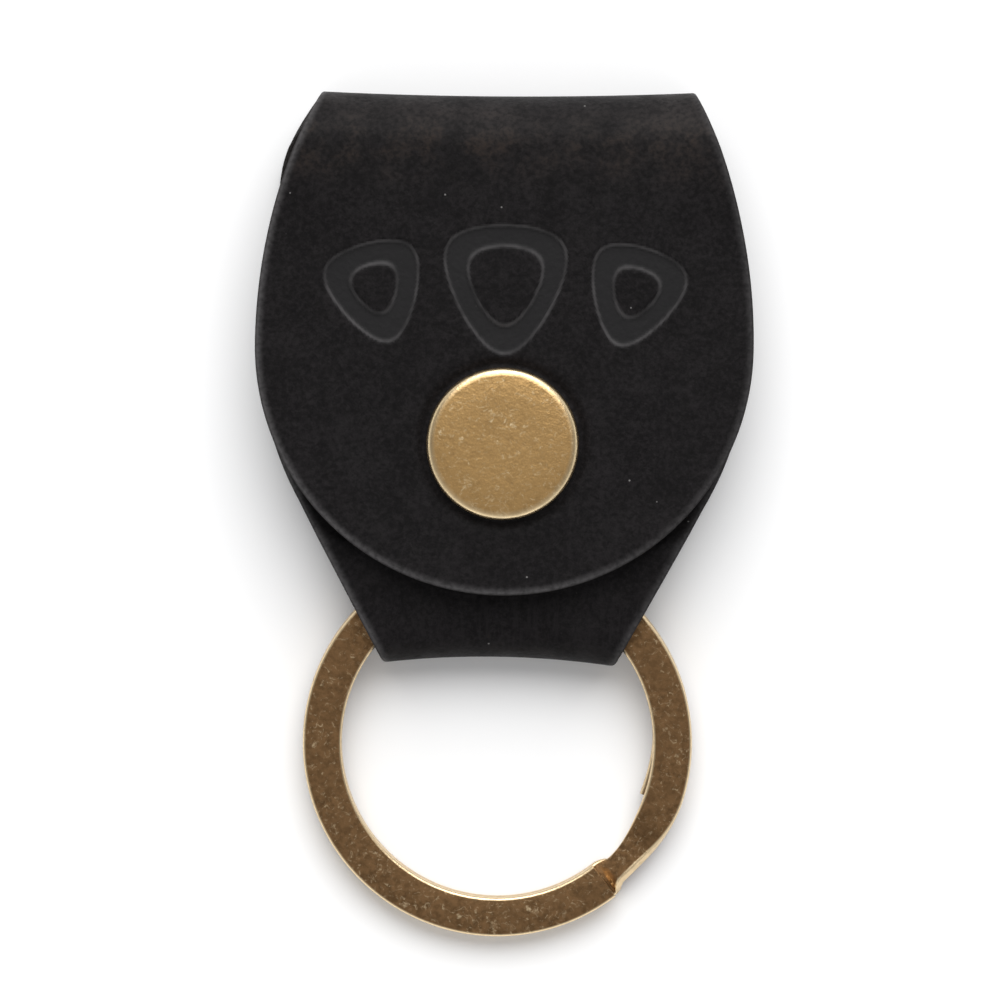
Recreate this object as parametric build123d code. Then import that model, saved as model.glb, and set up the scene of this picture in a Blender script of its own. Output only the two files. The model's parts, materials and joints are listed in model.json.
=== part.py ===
from build123d import *
import os
from math import acos, asin, atan, atan2, cos, degrees, hypot, pi, sin, sqrt, tan

# A leather pick holder on a key ring, lying on its back, in millimetres.
# +Z is up, out of the flap's face. +Y points to the top fold and -Y to the key ring.
# One strip of leather makes the flap, turns over at the top fold, runs down as the back
# panel, turns round the key ring and comes up again as the front of the pick pocket.
# "Down" in these comments is the distance below the top fold's outermost line.

# ---- driving dimensions ----
leather = 1.7                 # thickness of the hide
pocket_gap = 1.2              # room for picks between the back panel and the pocket panel

flap_half_width = 20.4        # at its widest line
flap_length = 41.3            # top fold to the round tip
fold_half_width = 15.4        # leather's half width at the top fold

back_half_width = 20.1        # the two lower layers at their widest line
shoulder_radius = 25.9        # where the sides of those layers turn in towards the neck
neck_half_width = 9.5         # at the bottom fold
neck_show = 5.7               # how far the neck stands out below the flap's tip
neck_corner = 0.8             # rounding of the neck's two corners
mouth_down = 13.0             # top fold to the pocket's mouth
mouth_sag = 2.5               # how far the mouth dips in its middle, for a thumb

ring_radius = 16.0            # outside of the split ring
wire_width = 3.2              # flat wire, seen from the ring's face
wire_thick = 1.05             # one coil's thickness
wire_edge = 0.25              # rounding of the wire's edges
coil_gap = 0.1                # between the two coils
ring_depth = 6.4              # bottom fold to the top of the ring's hole
ring_clear = 0.15             # ring to the leather above and below it
notch_clear = 0.12            # ring to the leather that it bears on in the bottom fold
top_end_angle = -51.5         # cut end of the front coil
ramp_low_angle = -50.0        # where the wire leaves the rear coil
ramp_high_angle = -20.0       # where the wire joins the front coil
rear_end_angle = -19.0        # cut end of the rear coil
ramp_steps = 6                # spans of the ramp between the two coils

fold_flat = 0.02              # straight leather between the top fold's two quarters
bend_inner = 1.0              # inner radius of the pocket panel's two bends
bend_room = 1.1               # stud's base to the corner of the nearer bend
crest_lead = 0.25             # ring's outside to the corner of the farther bend
crest_clear = 0.3             # pocket panel's crest to the flap, at the least

snap_down = 28.9              # top fold to the snap's centre
snap_gap = 2.8                # flap to pocket panel, round the closed snap
sheet_metal = 0.35            # thickness of the snap's pressed metal
cap_radius = 6.225
cap_height = 1.4              # above the flap
cap_round = 0.65              # rounding of the cap's outer edge
cap_lip = 0.9                 # width of the cap's edge where it is turned under the post
barrel_radius = 1.7           # outside of the cap post's and the eyelet's barrels
barrel_clear = 0.05           # barrels in their holes
flare = 0.35                  # how far a barrel's end is rolled outwards
socket_radius = 5.1
socket_clear = 0.15           # socket to the stud's base
mouth_clear = 0.35            # socket's mouth to the stud's head
spring_wire = 0.45            # wire diameter of the socket's ring spring
spring_clear = 0.2            # spring to the stud's neck
spring_open = 40.0            # angle that the spring ring leaves open
stud_base_radius = 4.3
stud_head_radius = 2.75
stud_neck_radius = 2.45

stitch_inset = 2.9            # stitches to the leather's edge
stitch_top_down = 15.0        # top fold to the first stitch hole
stitch_end_down = 33.0        # top fold to the last stitch hole
stitch_count = 6
thread = 0.5                  # thread, as pulled flat
thread_proud = 0.2            # how far the thread stands out of the pocket panel
groove_depth = 0.45           # groove that hides the thread in the back panel's underside
groove_clear = 0.1            # groove wider than the thread, on each side

# ---- places that follow from them ----
neck_down = flap_length + neck_show         # top fold to bottom fold
ring_hole_radius = ring_radius - wire_width
ring_height = 2 * wire_thick + coil_gap
ring_down = neck_down - ring_depth + ring_hole_radius
# The ring leans on its far edge and passes over the back panel's end.
half_height = ring_height / 2
edge_out = ring_radius - wire_edge          # ring's centre to the middle of the wire's edge rounding
edge_up = half_height - wire_edge
ring_tilt = atan((leather + ring_clear) / (edge_out + ring_down - neck_down))
ring_z = edge_out * sin(ring_tilt) + edge_up * cos(ring_tilt) + wire_edge
ring_far = edge_out * cos(ring_tilt) + edge_up * sin(ring_tilt) + wire_edge
top_y = (ring_down + ring_far) / 2          # the origin is midway between the fold and the ring


def y_at(down):
    """World Y of a line that lies the given distance below the top fold."""
    return top_y - down


def over_ring(down):
    """Height of the pocket panel's underside where it lies over the ring."""
    ring_face = ring_z + half_height / cos(ring_tilt) + (ring_down - down) * tan(ring_tilt)
    return ring_face + ring_clear / cos(ring_tilt)


# Bottom fold: its inside touches the back panel's face and the underside line of the pocket panel.
loop_rise = over_ring(neck_down - leather) - leather
loop_inner = loop_rise / (1 + 1 / cos(ring_tilt) - tan(ring_tilt))
loop_outer = loop_inner + leather
loop_down = neck_down - loop_outer

# Pocket panel: flat round the snap, then up and over the ring.
pocket_z = leather + pocket_gap
pocket_top = pocket_z + leather
valley_down = snap_down + stud_base_radius + bend_room
peak_down = ring_down - ring_radius - ring_clear - crest_lead

# Flap: level over the snap, or over the pocket panel's crest where that is higher.
crest_top = over_ring(peak_down) + leather / cos(ring_tilt)
flap_z = max(pocket_top + snap_gap, crest_top + crest_clear)
flap_top = flap_z + leather
snap_room = flap_z - pocket_top
widest_down = flap_length - flap_half_width
hinge_y = y_at(0)
hinge_z = flap_top / 2
snap_y = y_at(snap_down)

# The two flanks of the neck touch the shoulder arcs.
shoulder_x = back_half_width - shoulder_radius
to_neck = hypot(neck_half_width - shoulder_x, neck_down - widest_down)
flank_angle = atan2(neck_down - widest_down, neck_half_width - shoulder_x) - acos(shoulder_radius / to_neck)
flank_x = shoulder_x + shoulder_radius * cos(flank_angle)
flank_down = widest_down + shoulder_radius * sin(flank_angle)


def side_radius(half_width):
    """Radius of the upper side, upright at the widest line and ending at the top fold."""
    step = half_width - fold_half_width
    return (widest_down**2 + step**2) / (2 * step)


def back_edge(down):
    """Half width of the two lower layers."""
    if down < widest_down:
        radius = side_radius(back_half_width)
        return back_half_width - radius + sqrt(radius**2 - (widest_down - down) ** 2)
    if down < flank_down:
        return shoulder_x + sqrt(shoulder_radius**2 - (down - widest_down) ** 2)
    return flank_x - (down - flank_down) * tan(flank_angle)


# ---- leather ----
def upper_side(half_width, side):
    """One upper edge of an outline, from beyond the top fold to the widest line."""
    radius = side_radius(half_width)
    sweep = degrees(asin(widest_down / radius))
    centre = (side * (half_width - radius), y_at(widest_down))
    start = 0 if side > 0 else 180
    arc = CenterArc(centre, radius, start, side * sweep)
    corner = (side * fold_half_width, y_at(0))
    return [Line((corner[0], corner[1] + leather), corner), arc]


def closed_prism(edges):
    """Upright prism over a closed outline, taller than the holder."""
    face = make_face(Curve() + edges)
    return extrude(Plane.XY.offset(-leather) * face, amount=flap_top + 2 * leather)


def flap_prism():
    """The flap seen from its face: two long arcs and a half circle."""
    edges = upper_side(flap_half_width, 1) + upper_side(flap_half_width, -1)
    edges.append(CenterArc((0, y_at(widest_down)), flap_half_width, 180, 180))
    beyond = y_at(0) + leather
    edges.append(Line((-fold_half_width, beyond), (fold_half_width, beyond)))
    return closed_prism(edges)


def back_prism():
    """The lower layers seen from the flap's side: long arcs, shoulders, flanks and neck."""
    edges = upper_side(back_half_width, 1) + upper_side(back_half_width, -1)
    turn = degrees(flank_angle)
    cut = neck_corner * tan((pi / 2 - flank_angle) / 2)
    run = (neck_down - flank_down) / cos(flank_angle)
    near = (run - cut) / run
    for side in (1, -1):
        centre = (side * shoulder_x, y_at(widest_down))
        start = 0 if side > 0 else 180
        edges.append(CenterArc(centre, shoulder_radius, start, -side * turn))
        shoulder = (side * flank_x, y_at(flank_down))
        corner_x = flank_x + (neck_half_width - flank_x) * near
        corner_down = flank_down + (neck_down - flank_down) * near
        corner = (side * corner_x, y_at(corner_down))
        edges.append(Line(shoulder, corner))
        foot = (side * (neck_half_width - cut), y_at(neck_down))
        edges.append(TangentArc(corner, foot, tangent=(Vector(*corner) - Vector(*shoulder))))
    foot_x = neck_half_width - cut
    edges.append(Line((-foot_x, y_at(neck_down)), (foot_x, y_at(neck_down))))
    beyond = y_at(0) + leather
    edges.append(Line((-fold_half_width, beyond), (fold_half_width, beyond)))
    return closed_prism(edges)


def across(face):
    """A profile in Y and Z, run across the whole width of the leather."""
    return extrude(Plane.YZ * face, amount=flap_half_width + leather, both=True)


def parallel(points, distance):
    """The corners of a line that runs beside the given one, to its left."""
    sides = []
    for a, b in zip(points, points[1:]):
        length = hypot(b[0] - a[0], b[1] - a[1])
        sides.append(((a[1] - b[1]) / length, (b[0] - a[0]) / length))
    joined = [sides[0]]
    for n, m in zip(sides, sides[1:]):
        spread = 1 + n[0] * m[0] + n[1] * m[1]
        joined.append(((n[0] + m[0]) / spread, (n[1] + m[1]) / spread))
    joined.append(sides[-1])
    return [(p[0] + distance * n[0], p[1] + distance * n[1]) for p, n in zip(points, joined)]


def bent_leather(points, radii):
    """Profile of leather that lies to the left of a bent line. A radius is the line's own."""
    other = parallel(points, leather)
    turned = []
    for i, radius in enumerate(radii):
        a, b, c = points[i : i + 3]
        left = (b[0] - a[0]) * (c[1] - b[1]) - (b[1] - a[1]) * (c[0] - b[0]) > 0
        turned.append(radius - leather if left else radius + leather)
    near = FilletPolyline(*points, radius=radii)
    far = FilletPolyline(*other, radius=turned)
    ends = [Line(points[0], other[0]), Line(points[-1], other[-1])]
    return make_face(Curve() + [near, far] + ends)


def make_flap():
    """Flap with the upper half of the top fold, and the hole for the cap's post."""
    path = [(hinge_y, hinge_z), (hinge_y, flap_top), (y_at(flap_length) - leather, flap_top)]
    sheet = across(bent_leather(path, [flap_top - hinge_z - fold_flat])) & flap_prism()
    hole = Pos(0, snap_y, flap_z) * Cylinder(barrel_radius + barrel_clear, 4 * leather)
    return sheet - hole


def make_back_panel(threads, grooves):
    """Back panel with the lower half of the top fold, cut for the stitches."""
    path = [(y_at(loop_down), 0), (hinge_y, 0), (hinge_y, hinge_z)]
    sheet = across(bent_leather(path, [hinge_z - fold_flat])) & back_prism()
    return sheet - threads - grooves


def make_bottom_fold():
    """Half turn of leather round the ring, hollowed where the ring bears on it."""
    centre = (y_at(loop_down), loop_outer)
    start = 90 + degrees(ring_tilt)
    size = 180 - degrees(ring_tilt)
    inner = CenterArc(centre, loop_inner, start, size)
    outer = CenterArc(centre, loop_outer, start, size)
    ends = [Line(inner @ 0, outer @ 0), Line(inner @ 1, outer @ 1)]
    turn = across(make_face(Curve() + [inner, outer] + ends)) & back_prism()
    return turn - ring_passage()


def make_pocket_panel(threads):
    """Front of the pocket, with the hole for the eyelet and the dipped mouth."""
    lean = ring_tilt
    start_down = loop_down + loop_inner * sin(lean)
    points = [
        (y_at(start_down), over_ring(start_down)),
        (y_at(peak_down), over_ring(peak_down)),
        (y_at(valley_down), pocket_z),
        (y_at(mouth_down), pocket_z),
    ]
    sheet = across(bent_leather(points, [bend_inner, bend_inner + leather])) & back_prism()
    hole = Pos(0, snap_y, pocket_z) * Cylinder(barrel_radius + barrel_clear, 4 * leather)
    half = back_edge(mouth_down)
    dip_radius = (half**2 + mouth_sag**2) / (2 * mouth_sag)
    dip_y = y_at(mouth_down + mouth_sag) + dip_radius
    dip = Pos(0, dip_y, pocket_z) * Cylinder(dip_radius, 4 * leather)
    return sheet - hole - dip - threads


# ---- stitching ----
def stitch_holes(side):
    """Places where the thread goes through both layers, beside one edge."""
    step = (stitch_end_down - stitch_top_down) / stitch_count
    downs = [stitch_top_down + step * i for i in range(stitch_count + 1)]
    return [(side * (back_edge(d) - stitch_inset), y_at(d)) for d in downs]


def thread_bar(a, b, width, low, high):
    """Straight bar between two stitch holes, from one height to another."""
    length = hypot(b[0] - a[0], b[1] - a[1]) + width
    turn = degrees(atan2(b[1] - a[1], b[0] - a[0]))
    middle = Pos((a[0] + b[0]) / 2, (a[1] + b[1]) / 2, (low + high) / 2)
    return middle * Rot(0, 0, turn) * Box(length, width, high - low)


def make_stitching(side):
    """One row: thread along both faces of the two layers and through each hole."""
    holes = stitch_holes(side)
    pairs = list(zip(holes, holes[1:]))
    rear = [thread_bar(a, b, thread, groove_depth - thread / 2, groove_depth) for a, b in pairs]
    front_high = pocket_top + thread_proud
    front = [thread_bar(a, b, thread, front_high - thread, front_high) for a, b in pairs]
    low = groove_depth - thread / 4
    high = pocket_top - thread / 4
    through = [Pos(x, y, (low + high) / 2) * Box(thread / 2, thread / 2, high - low) for x, y in holes]
    row = rear[0]
    for piece in rear[1:] + front + through:
        row = row + piece
    return row


def make_groove(side):
    """Groove in the back panel's underside, in which one row's thread lies."""
    holes = stitch_holes(side)
    width = thread + 2 * groove_clear
    bars = [thread_bar(a, b, width, -leather, groove_depth) for a, b in zip(holes, holes[1:])]
    groove = bars[0]
    for bar in bars[1:]:
        groove = groove + bar
    return groove


# ---- snap fastener ----
def turned(points):
    """Solid of revolution about the snap's axis, from a profile of radius and height."""
    edges = Polyline(*points, close=True)
    face = Plane.XZ * make_face(edges)
    return Pos(0, snap_y, 0) * revolve(face, axis=Axis.Z)


def make_snap_cap():
    """Pressed cap on the flap's face, with its edge turned under."""
    top = flap_top + cap_height
    metal = sheet_metal
    outer = FilletPolyline(
        (0, top),
        (cap_radius, top),
        (cap_radius, flap_top),
        (cap_radius - cap_lip, flap_top),
        radius=[cap_round, metal],
    )
    low = flap_top + metal
    inner = [
        (cap_radius - cap_lip, low),
        (cap_radius - metal, low),
        (cap_radius - metal, top - cap_round),
        (cap_radius - cap_round, top - metal),
        (0, top - metal),
    ]
    rest = Polyline((cap_radius - cap_lip, flap_top), *inner, (0, top))
    face = Plane.XZ * make_face(Curve() + [outer, rest])
    return Pos(0, snap_y, 0) * revolve(face, axis=Axis.Z)


def make_cap_post():
    """Disc held inside the cap, and its barrel, rolled over inside the socket."""
    low = flap_top + sheet_metal
    high = low + sheet_metal
    disc = cap_radius - sheet_metal - barrel_clear
    end = flap_z - 2 * sheet_metal
    bore = barrel_radius - sheet_metal
    return turned(
        [
            (0, high),
            (disc, high),
            (disc, low),
            (barrel_radius, low),
            (barrel_radius, end + sheet_metal),
            (barrel_radius + flare, end + sheet_metal),
            (barrel_radius + flare, end),
            (bore, end),
            (bore, low),
            (0, low),
        ]
    )


def make_snap_socket():
    """Hollow ring under the flap: a pressed shell, open towards its own axis."""
    low = pocket_top + sheet_metal + socket_clear
    mouth = stud_head_radius + mouth_clear
    hole = barrel_radius + barrel_clear
    wall = socket_radius - sheet_metal
    return turned(
        [
            (hole, flap_z),
            (wall, flap_z),
            (socket_radius, flap_z - sheet_metal),
            (socket_radius, low + sheet_metal),
            (wall, low),
            (mouth, low),
            (mouth, low + sheet_metal),
            (wall, low + sheet_metal),
            (wall, flap_z - sheet_metal),
            (hole, flap_z - sheet_metal),
        ]
    )


def make_snap_spring():
    """Open wire ring in the socket, which grips the stud's neck."""
    radius = stud_neck_radius + spring_clear + spring_wire / 2
    floor = pocket_top + 2 * sheet_metal + socket_clear
    height = floor + spring_wire / 2 + barrel_clear
    section = Plane.XZ * (Pos(radius, height) * Circle(spring_wire / 2))
    ring = revolve(section, axis=Axis.Z, revolution_arc=360 - spring_open)
    return Pos(0, snap_y, 0) * Rot(0, 0, 90 + spring_open / 2) * ring


def make_snap_stud():
    """Stud on the pocket panel: a flat base and a hollow head with a neck under it."""
    base = pocket_top
    top = flap_z - 2 * sheet_metal - socket_clear
    floor = pocket_top + 2 * sheet_metal + socket_clear
    neck_end = floor + spring_wire + 2 * barrel_clear
    bulge = (neck_end + top) / 2
    wall = sheet_metal
    hole = barrel_radius + barrel_clear
    return turned(
        [
            (hole, base),
            (stud_base_radius, base),
            (stud_base_radius, base + wall),
            (stud_neck_radius, base + wall),
            (stud_neck_radius, neck_end),
            (stud_head_radius, bulge),
            (stud_neck_radius, top),
            (0, top),
            (0, top - wall / 2),
            (stud_neck_radius - wall, top - wall / 2),
            (stud_neck_radius - wall, base + wall),
            (hole, base + wall),
        ]
    )


def make_snap_eyelet():
    """Eyelet behind the pocket panel, its barrel rolled over inside the stud."""
    low = pocket_z - sheet_metal
    end = pocket_top + sheet_metal
    bore = barrel_radius - sheet_metal
    return turned(
        [
            (bore, low),
            (stud_base_radius - sheet_metal, low),
            (stud_base_radius - sheet_metal, pocket_z),
            (barrel_radius, pocket_z),
            (barrel_radius, end),
            (stud_neck_radius - sheet_metal - barrel_clear, end),
            (stud_neck_radius - sheet_metal - barrel_clear, end + sheet_metal / 2),
            (bore, end + sheet_metal / 2),
        ]
    )


# ---- key ring ----
def ring_place():
    """Where the ring lies: under the pocket panel, leaning down to its far edge."""
    return Pos(0, y_at(ring_down), ring_z) * Rot(degrees(ring_tilt), 0, 0)


def ring_passage():
    """Room for the ring in the leather, all the way round it."""
    height = ring_height + 2 * notch_clear
    outside = Cylinder(ring_radius + notch_clear, height)
    inside = Cylinder(ring_hole_radius - notch_clear, 2 * height)
    return ring_place() * (outside - inside)


def wire_section(angle, height):
    """The flat wire cut across, at an angle round the ring and a height of its middle."""
    flat = Plane.XZ * RectangleRounded(wire_width, wire_thick, wire_edge)
    middle = ring_radius - wire_width / 2
    return Rot(0, 0, angle) * Pos(middle, 0, height) * flat


def make_key_ring():
    """Split ring: a front coil, a rear coil, and the ramp that makes them one wire."""
    front = (wire_thick + coil_gap) / 2
    turn_front = 360 + top_end_angle - ramp_high_angle
    turn_rear = 360 + ramp_low_angle - rear_end_angle
    front_coil = revolve(wire_section(ramp_high_angle, front), axis=Axis.Z, revolution_arc=turn_front)
    rear_coil = revolve(wire_section(rear_end_angle, -front), axis=Axis.Z, revolution_arc=turn_rear)
    sections = []
    for i in range(ramp_steps + 1):
        share = i / ramp_steps
        rise = share * share * (3 - 2 * share)
        angle = ramp_low_angle + share * (ramp_high_angle - ramp_low_angle)
        sections.append(wire_section(angle, front * (2 * rise - 1)))
    ramp = loft(sections)
    return ring_place() * (front_coil + ramp + rear_coil)


def build():
    """Every piece by its node's name."""
    rows = {side: make_stitching(side) for side in (-1, 1)}
    threads = rows[-1] + rows[1]
    grooves = make_groove(-1) + make_groove(1)
    return {
        "flap": make_flap(),
        "back_panel": make_back_panel(threads, grooves),
        "bottom_fold": make_bottom_fold(),
        "pocket_panel": make_pocket_panel(threads),
        "left_stitching": rows[-1],
        "right_stitching": rows[1],
        "snap_cap": make_snap_cap(),
        "snap_cap_post": make_cap_post(),
        "snap_socket": make_snap_socket(),
        "snap_spring": make_snap_spring(),
        "snap_stud": make_snap_stud(),
        "snap_eyelet": make_snap_eyelet(),
        "key_ring": make_key_ring(),
    }


os.makedirs("parts", exist_ok=True)
for name, shape in build().items():
    export_step(shape, f"parts/{name}.step")
print(f"hinge at y {hinge_y:.4f}, z {hinge_z:.4f}")
print(f"ring centre at y {y_at(ring_down):.4f}, z {ring_z:.4f}")
print(f"ring axis 0, {-sin(ring_tilt):.6f}, {cos(ring_tilt):.6f}")
print(f"flap z {flap_z:.3f}, loop inner {loop_inner:.3f}")
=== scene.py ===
import json
from math import acos, atan2, cos, hypot, pi, radians, sin, tan

import bmesh
import bpy
import numpy as np
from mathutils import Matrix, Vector
from mathutils.geometry import delaunay_2d_cdt
from mathutils.kdtree import KDTree


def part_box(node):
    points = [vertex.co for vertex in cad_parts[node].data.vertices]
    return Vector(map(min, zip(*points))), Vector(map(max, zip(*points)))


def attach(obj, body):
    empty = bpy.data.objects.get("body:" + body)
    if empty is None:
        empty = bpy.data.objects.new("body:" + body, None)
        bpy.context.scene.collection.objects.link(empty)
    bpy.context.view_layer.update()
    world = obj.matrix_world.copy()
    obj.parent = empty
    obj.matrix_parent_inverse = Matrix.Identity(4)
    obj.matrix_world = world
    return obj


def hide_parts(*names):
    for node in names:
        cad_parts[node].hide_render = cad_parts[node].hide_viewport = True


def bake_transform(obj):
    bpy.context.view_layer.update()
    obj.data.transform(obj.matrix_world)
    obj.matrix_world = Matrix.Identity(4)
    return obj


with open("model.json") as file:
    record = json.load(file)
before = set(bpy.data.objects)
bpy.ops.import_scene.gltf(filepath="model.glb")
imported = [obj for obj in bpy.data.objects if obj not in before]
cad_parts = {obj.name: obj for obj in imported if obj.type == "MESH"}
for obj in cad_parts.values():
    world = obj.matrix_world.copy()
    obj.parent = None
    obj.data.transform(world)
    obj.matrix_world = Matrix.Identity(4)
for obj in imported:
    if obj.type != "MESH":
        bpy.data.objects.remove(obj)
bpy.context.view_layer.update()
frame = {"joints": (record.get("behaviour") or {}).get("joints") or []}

bl_info = {
    "name": "Leather Pick Holder",
    "version": (1, 0, 0),
    "blender": (4, 5, 0),
    "location": "3D View > Sidebar > Pick Holder",
    "description": "A folded leather pick holder with its snap, stitching and split key ring",
    "category": "Add Mesh",
}

# Everything is in metres. +Z is out of the flap's face, +Y points to the top fold.
# "Down" is the distance below the top fold's outermost line.
MM = 0.001

# ---- places read from the frame ----
joints = {joint["name"]: joint for joint in frame["joints"]}
flap_low, flap_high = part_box("flap")
back_low, back_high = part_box("back_panel")
fold_low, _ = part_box("bottom_fold")
cap_low, cap_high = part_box("snap_cap")
post_low, post_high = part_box("snap_cap_post")
socket_low, socket_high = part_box("snap_socket")
spring_low, spring_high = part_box("snap_spring")
stud_low, stud_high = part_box("snap_stud")
eyelet_low, eyelet_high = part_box("snap_eyelet")
ring_low, ring_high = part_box("key_ring")

TOP_Y = flap_high.y
FLAP_TOP = flap_high.z
FLAP_UNDER = socket_high.z
LEATHER = FLAP_TOP - FLAP_UNDER
HALF = LEATHER / 2
FOLD_OUTER = FLAP_TOP / 2                       # outside radius of the top fold
FOLD_MIDDLE = FOLD_OUTER - HALF
FLAP_LENGTH = TOP_Y - flap_low.y
FLAP_HALF_WIDTH = flap_high.x
BACK_HALF_WIDTH = back_high.x
WIDEST_DOWN = FLAP_LENGTH - FLAP_HALF_WIDTH
NECK_DOWN = TOP_Y - fold_low.y
LOOP_DOWN = TOP_Y - back_low.y                  # where the back panel turns up round the ring
LOOP_OUTER = NECK_DOWN - LOOP_DOWN
LOOP_MIDDLE = LOOP_OUTER - HALF
POCKET_TOP = stud_low.z
POCKET_UNDER = POCKET_TOP - LEATHER
POCKET_GAP = POCKET_UNDER - LEATHER
METAL = (post_high.z - FLAP_TOP) / 2            # thickness of the snap's pressed metal
SNAP_Y = (cap_low.y + cap_high.y) / 2
SNAP_DOWN = TOP_Y - SNAP_Y

RING_CENTRE = Vector(joints["ring_spin"]["pos_m"])
RING_AXIS = Vector(joints["ring_spin"]["axis"])
RING_LEAN = atan2(-RING_AXIS.y, RING_AXIS.z)
RING_RADIUS = (ring_high.x - ring_low.x) / 2


def length(name, description, default):
    """A size that shows in the user's units."""
    return bpy.props.FloatProperty(
        name=name, description=description, default=default, unit="LENGTH", subtype="DISTANCE", precision=5
    )


def angle(name, description, degrees):
    """An angle that shows in degrees."""
    return bpy.props.FloatProperty(
        name=name, description=description, default=radians(degrees), unit="ROTATION", subtype="ANGLE"
    )


def share(name, description, default):
    """A part of a whole, from 0 to 1."""
    return bpy.props.FloatProperty(
        name=name, description=description, default=default, min=0, max=1, subtype="FACTOR"
    )


def colour(name, description, *default):
    """A colour, as linear red, green and blue."""
    return bpy.props.FloatVectorProperty(
        name=name, description=description, default=(*default, 1.0), size=4, subtype="COLOR", min=0, max=1
    )


class HolderSizes(bpy.types.PropertyGroup):
    """Sizes of the leather, the thread and the ring that the frame's boxes don't give."""

    fold_half_width: length("Fold half width", "Half width of the leather at the top fold", 15.4 * MM)
    shoulder_radius: length("Shoulder radius", "Arc that turns the lower layers in", 25.9 * MM)
    neck_half_width: length("Neck half width", "Half width at the bottom fold", 9.5 * MM)
    mouth_down: length("Mouth down", "Top fold to the pocket's mouth", 13.0 * MM)
    mouth_sag: length("Mouth sag", "How far the mouth dips in its middle", 2.5 * MM)
    bend_radius: length("Bend radius", "Middle radius of the pocket panel's two bends", 1.85 * MM)
    edge_round: length("Edge rounding", "Rounding of the leather's cut edges", 0.3 * MM)
    fold_dip: length("Fold dip", "How far the top fold dips in its middle", 0.35 * MM)
    fold_skew: length("Fold skew", "How far the top fold's right end stands above its middle", 0.2 * MM)
    neck_dip: length("Neck dip", "How far the bottom fold dips between the ring's two sides", 0.62 * MM)
    side_droop: length("Side droop", "How far the flap's sides hang below its middle", 0.6 * MM)
    layer_shift: length("Layer shift", "How far the back layer shows past the flap, top left", 0.75 * MM)
    motif_depth: length("Motif depth", "Depth of the pressed motif", 0.35 * MM)
    motif_stroke: length("Motif stroke", "Width of the motif's line", 1.5 * MM)
    coarse: length("Coarse grid", "Spacing of the leather's points", 0.5 * MM)
    fine: length("Fine grid", "Spacing of the points under the motif and the stitches", 0.2 * MM)
    stitch_inset: length("Stitch inset", "Stitches to the leather's edge", 2.9 * MM)
    stitch_top_down: length("First stitch", "Top fold to the first stitch hole", 15.0 * MM)
    stitch_end_down: length("Last stitch", "Top fold to the last stitch hole", 33.0 * MM)
    stitch_count: bpy.props.IntProperty(name="Stitches", description="Stitches in a row", default=6)
    thread: length("Thread", "Thickness of the thread", 0.42 * MM)
    groove: length("Groove", "Depth of the thread's groove in the back panel", 0.45 * MM)
    wire_width: length("Wire width", "Width of the ring's flat wire", 3.2 * MM)
    wire_thick: length("Wire thickness", "Thickness of one coil", 1.05 * MM)
    wire_edge: length("Wire edge", "Rounding of the wire's edges", 0.25 * MM)
    coil_gap: length("Coil gap", "Room between the two coils", 0.1 * MM)
    front_end: angle("Front end", "Cut end of the front coil", -51.5)
    ramp_low: angle("Ramp start", "Where the wire leaves the rear coil", -50.0)
    ramp_high: angle("Ramp end", "Where the wire joins the front coil", -20.0)
    rear_end: angle("Rear end", "Cut end of the rear coil", -19.0)
    inward_spring: length("Inward spring", "How far the rear coil's cut end springs in", 0.3 * MM)
    wire_roll: angle("Wire roll", "How far the wire rolls over on its ramp", 44.0)
    wire_slimming: share("Wire slimming", "How much slimmer the rolled wire is", 0.22)
    # Partly wear, partly painted highlight on the ring's sides.
    side_wear_and_highlight: share("Side wear and highlight", "How bright the wire's outer and inner sides are, from wear and painted highlight", 0.7)
    wire_bevel: length("Wire bevel", "Bevel of the wire's cut ends", 0.1 * MM)


class HolderColours(bpy.types.PropertyGroup):
    """Colours of the finishes."""

    leather: colour("Leather", "Grain side of the black leather", 0.0040, 0.0035, 0.0037)
    leather_rubbed: colour("Rubbed leather", "Grain side where it is bent or rubbed", 0.021, 0.0182, 0.0178)
    leather_worn: colour("Worn leather", "Where the dye is worn off below the fold", 0.034, 0.022, 0.015)
    leather_pressed: colour("Pressed leather", "Bottom of the pressed motif", 0.017, 0.0165, 0.017)
    # Burnished rim, and also the painted highlight on the motif's walls.
    leather_burnish_and_highlight: colour("Burnished edge and highlight", "Rim of the grain side, and painted highlight on the motif's walls", 0.066, 0.063, 0.064)
    leather_flesh: colour("Flesh side", "Inside of the leather", 0.024, 0.021, 0.020)
    # The metals' worn colours are partly wear and partly painted highlight on their edges.
    brass: colour("Antique brass", "Snap", 0.415, 0.255, 0.102)
    brass_wear_and_highlight: colour("Worn and highlit brass", "Snap's worn edges, with painted highlight", 1.0, 0.84, 0.55)
    bronze: colour("Antique bronze", "Split ring", 0.187, 0.106, 0.048)
    bronze_wear_and_highlight: colour("Worn and highlit bronze", "Split ring's worn edges, with painted highlight", 0.95, 0.76, 0.48)
    thread: colour("Thread", "Waxed thread", 0.012, 0.011, 0.011)
    steel: colour("Steel", "Socket's ring spring", 0.45, 0.44, 0.42)
    floor: colour("Floor", "Pale floor", 0.94, 0.94, 0.94)


def shade(base, factor):
    """A colour made darker or lighter."""
    return tuple(min(1.0, factor * c) for c in base[:3]) + (1.0,)


def smooth(value, low, high):
    """0 up to low, 1 from high, and a smooth step between them."""
    share = np.clip((value - low) / (high - low), 0, 1)
    return share * share * (3 - 2 * share)


def bell(value, centre, width):
    """1 at the centre, and falling to nothing on both sides."""
    return np.exp(-(((value - centre) / width) ** 2))


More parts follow.
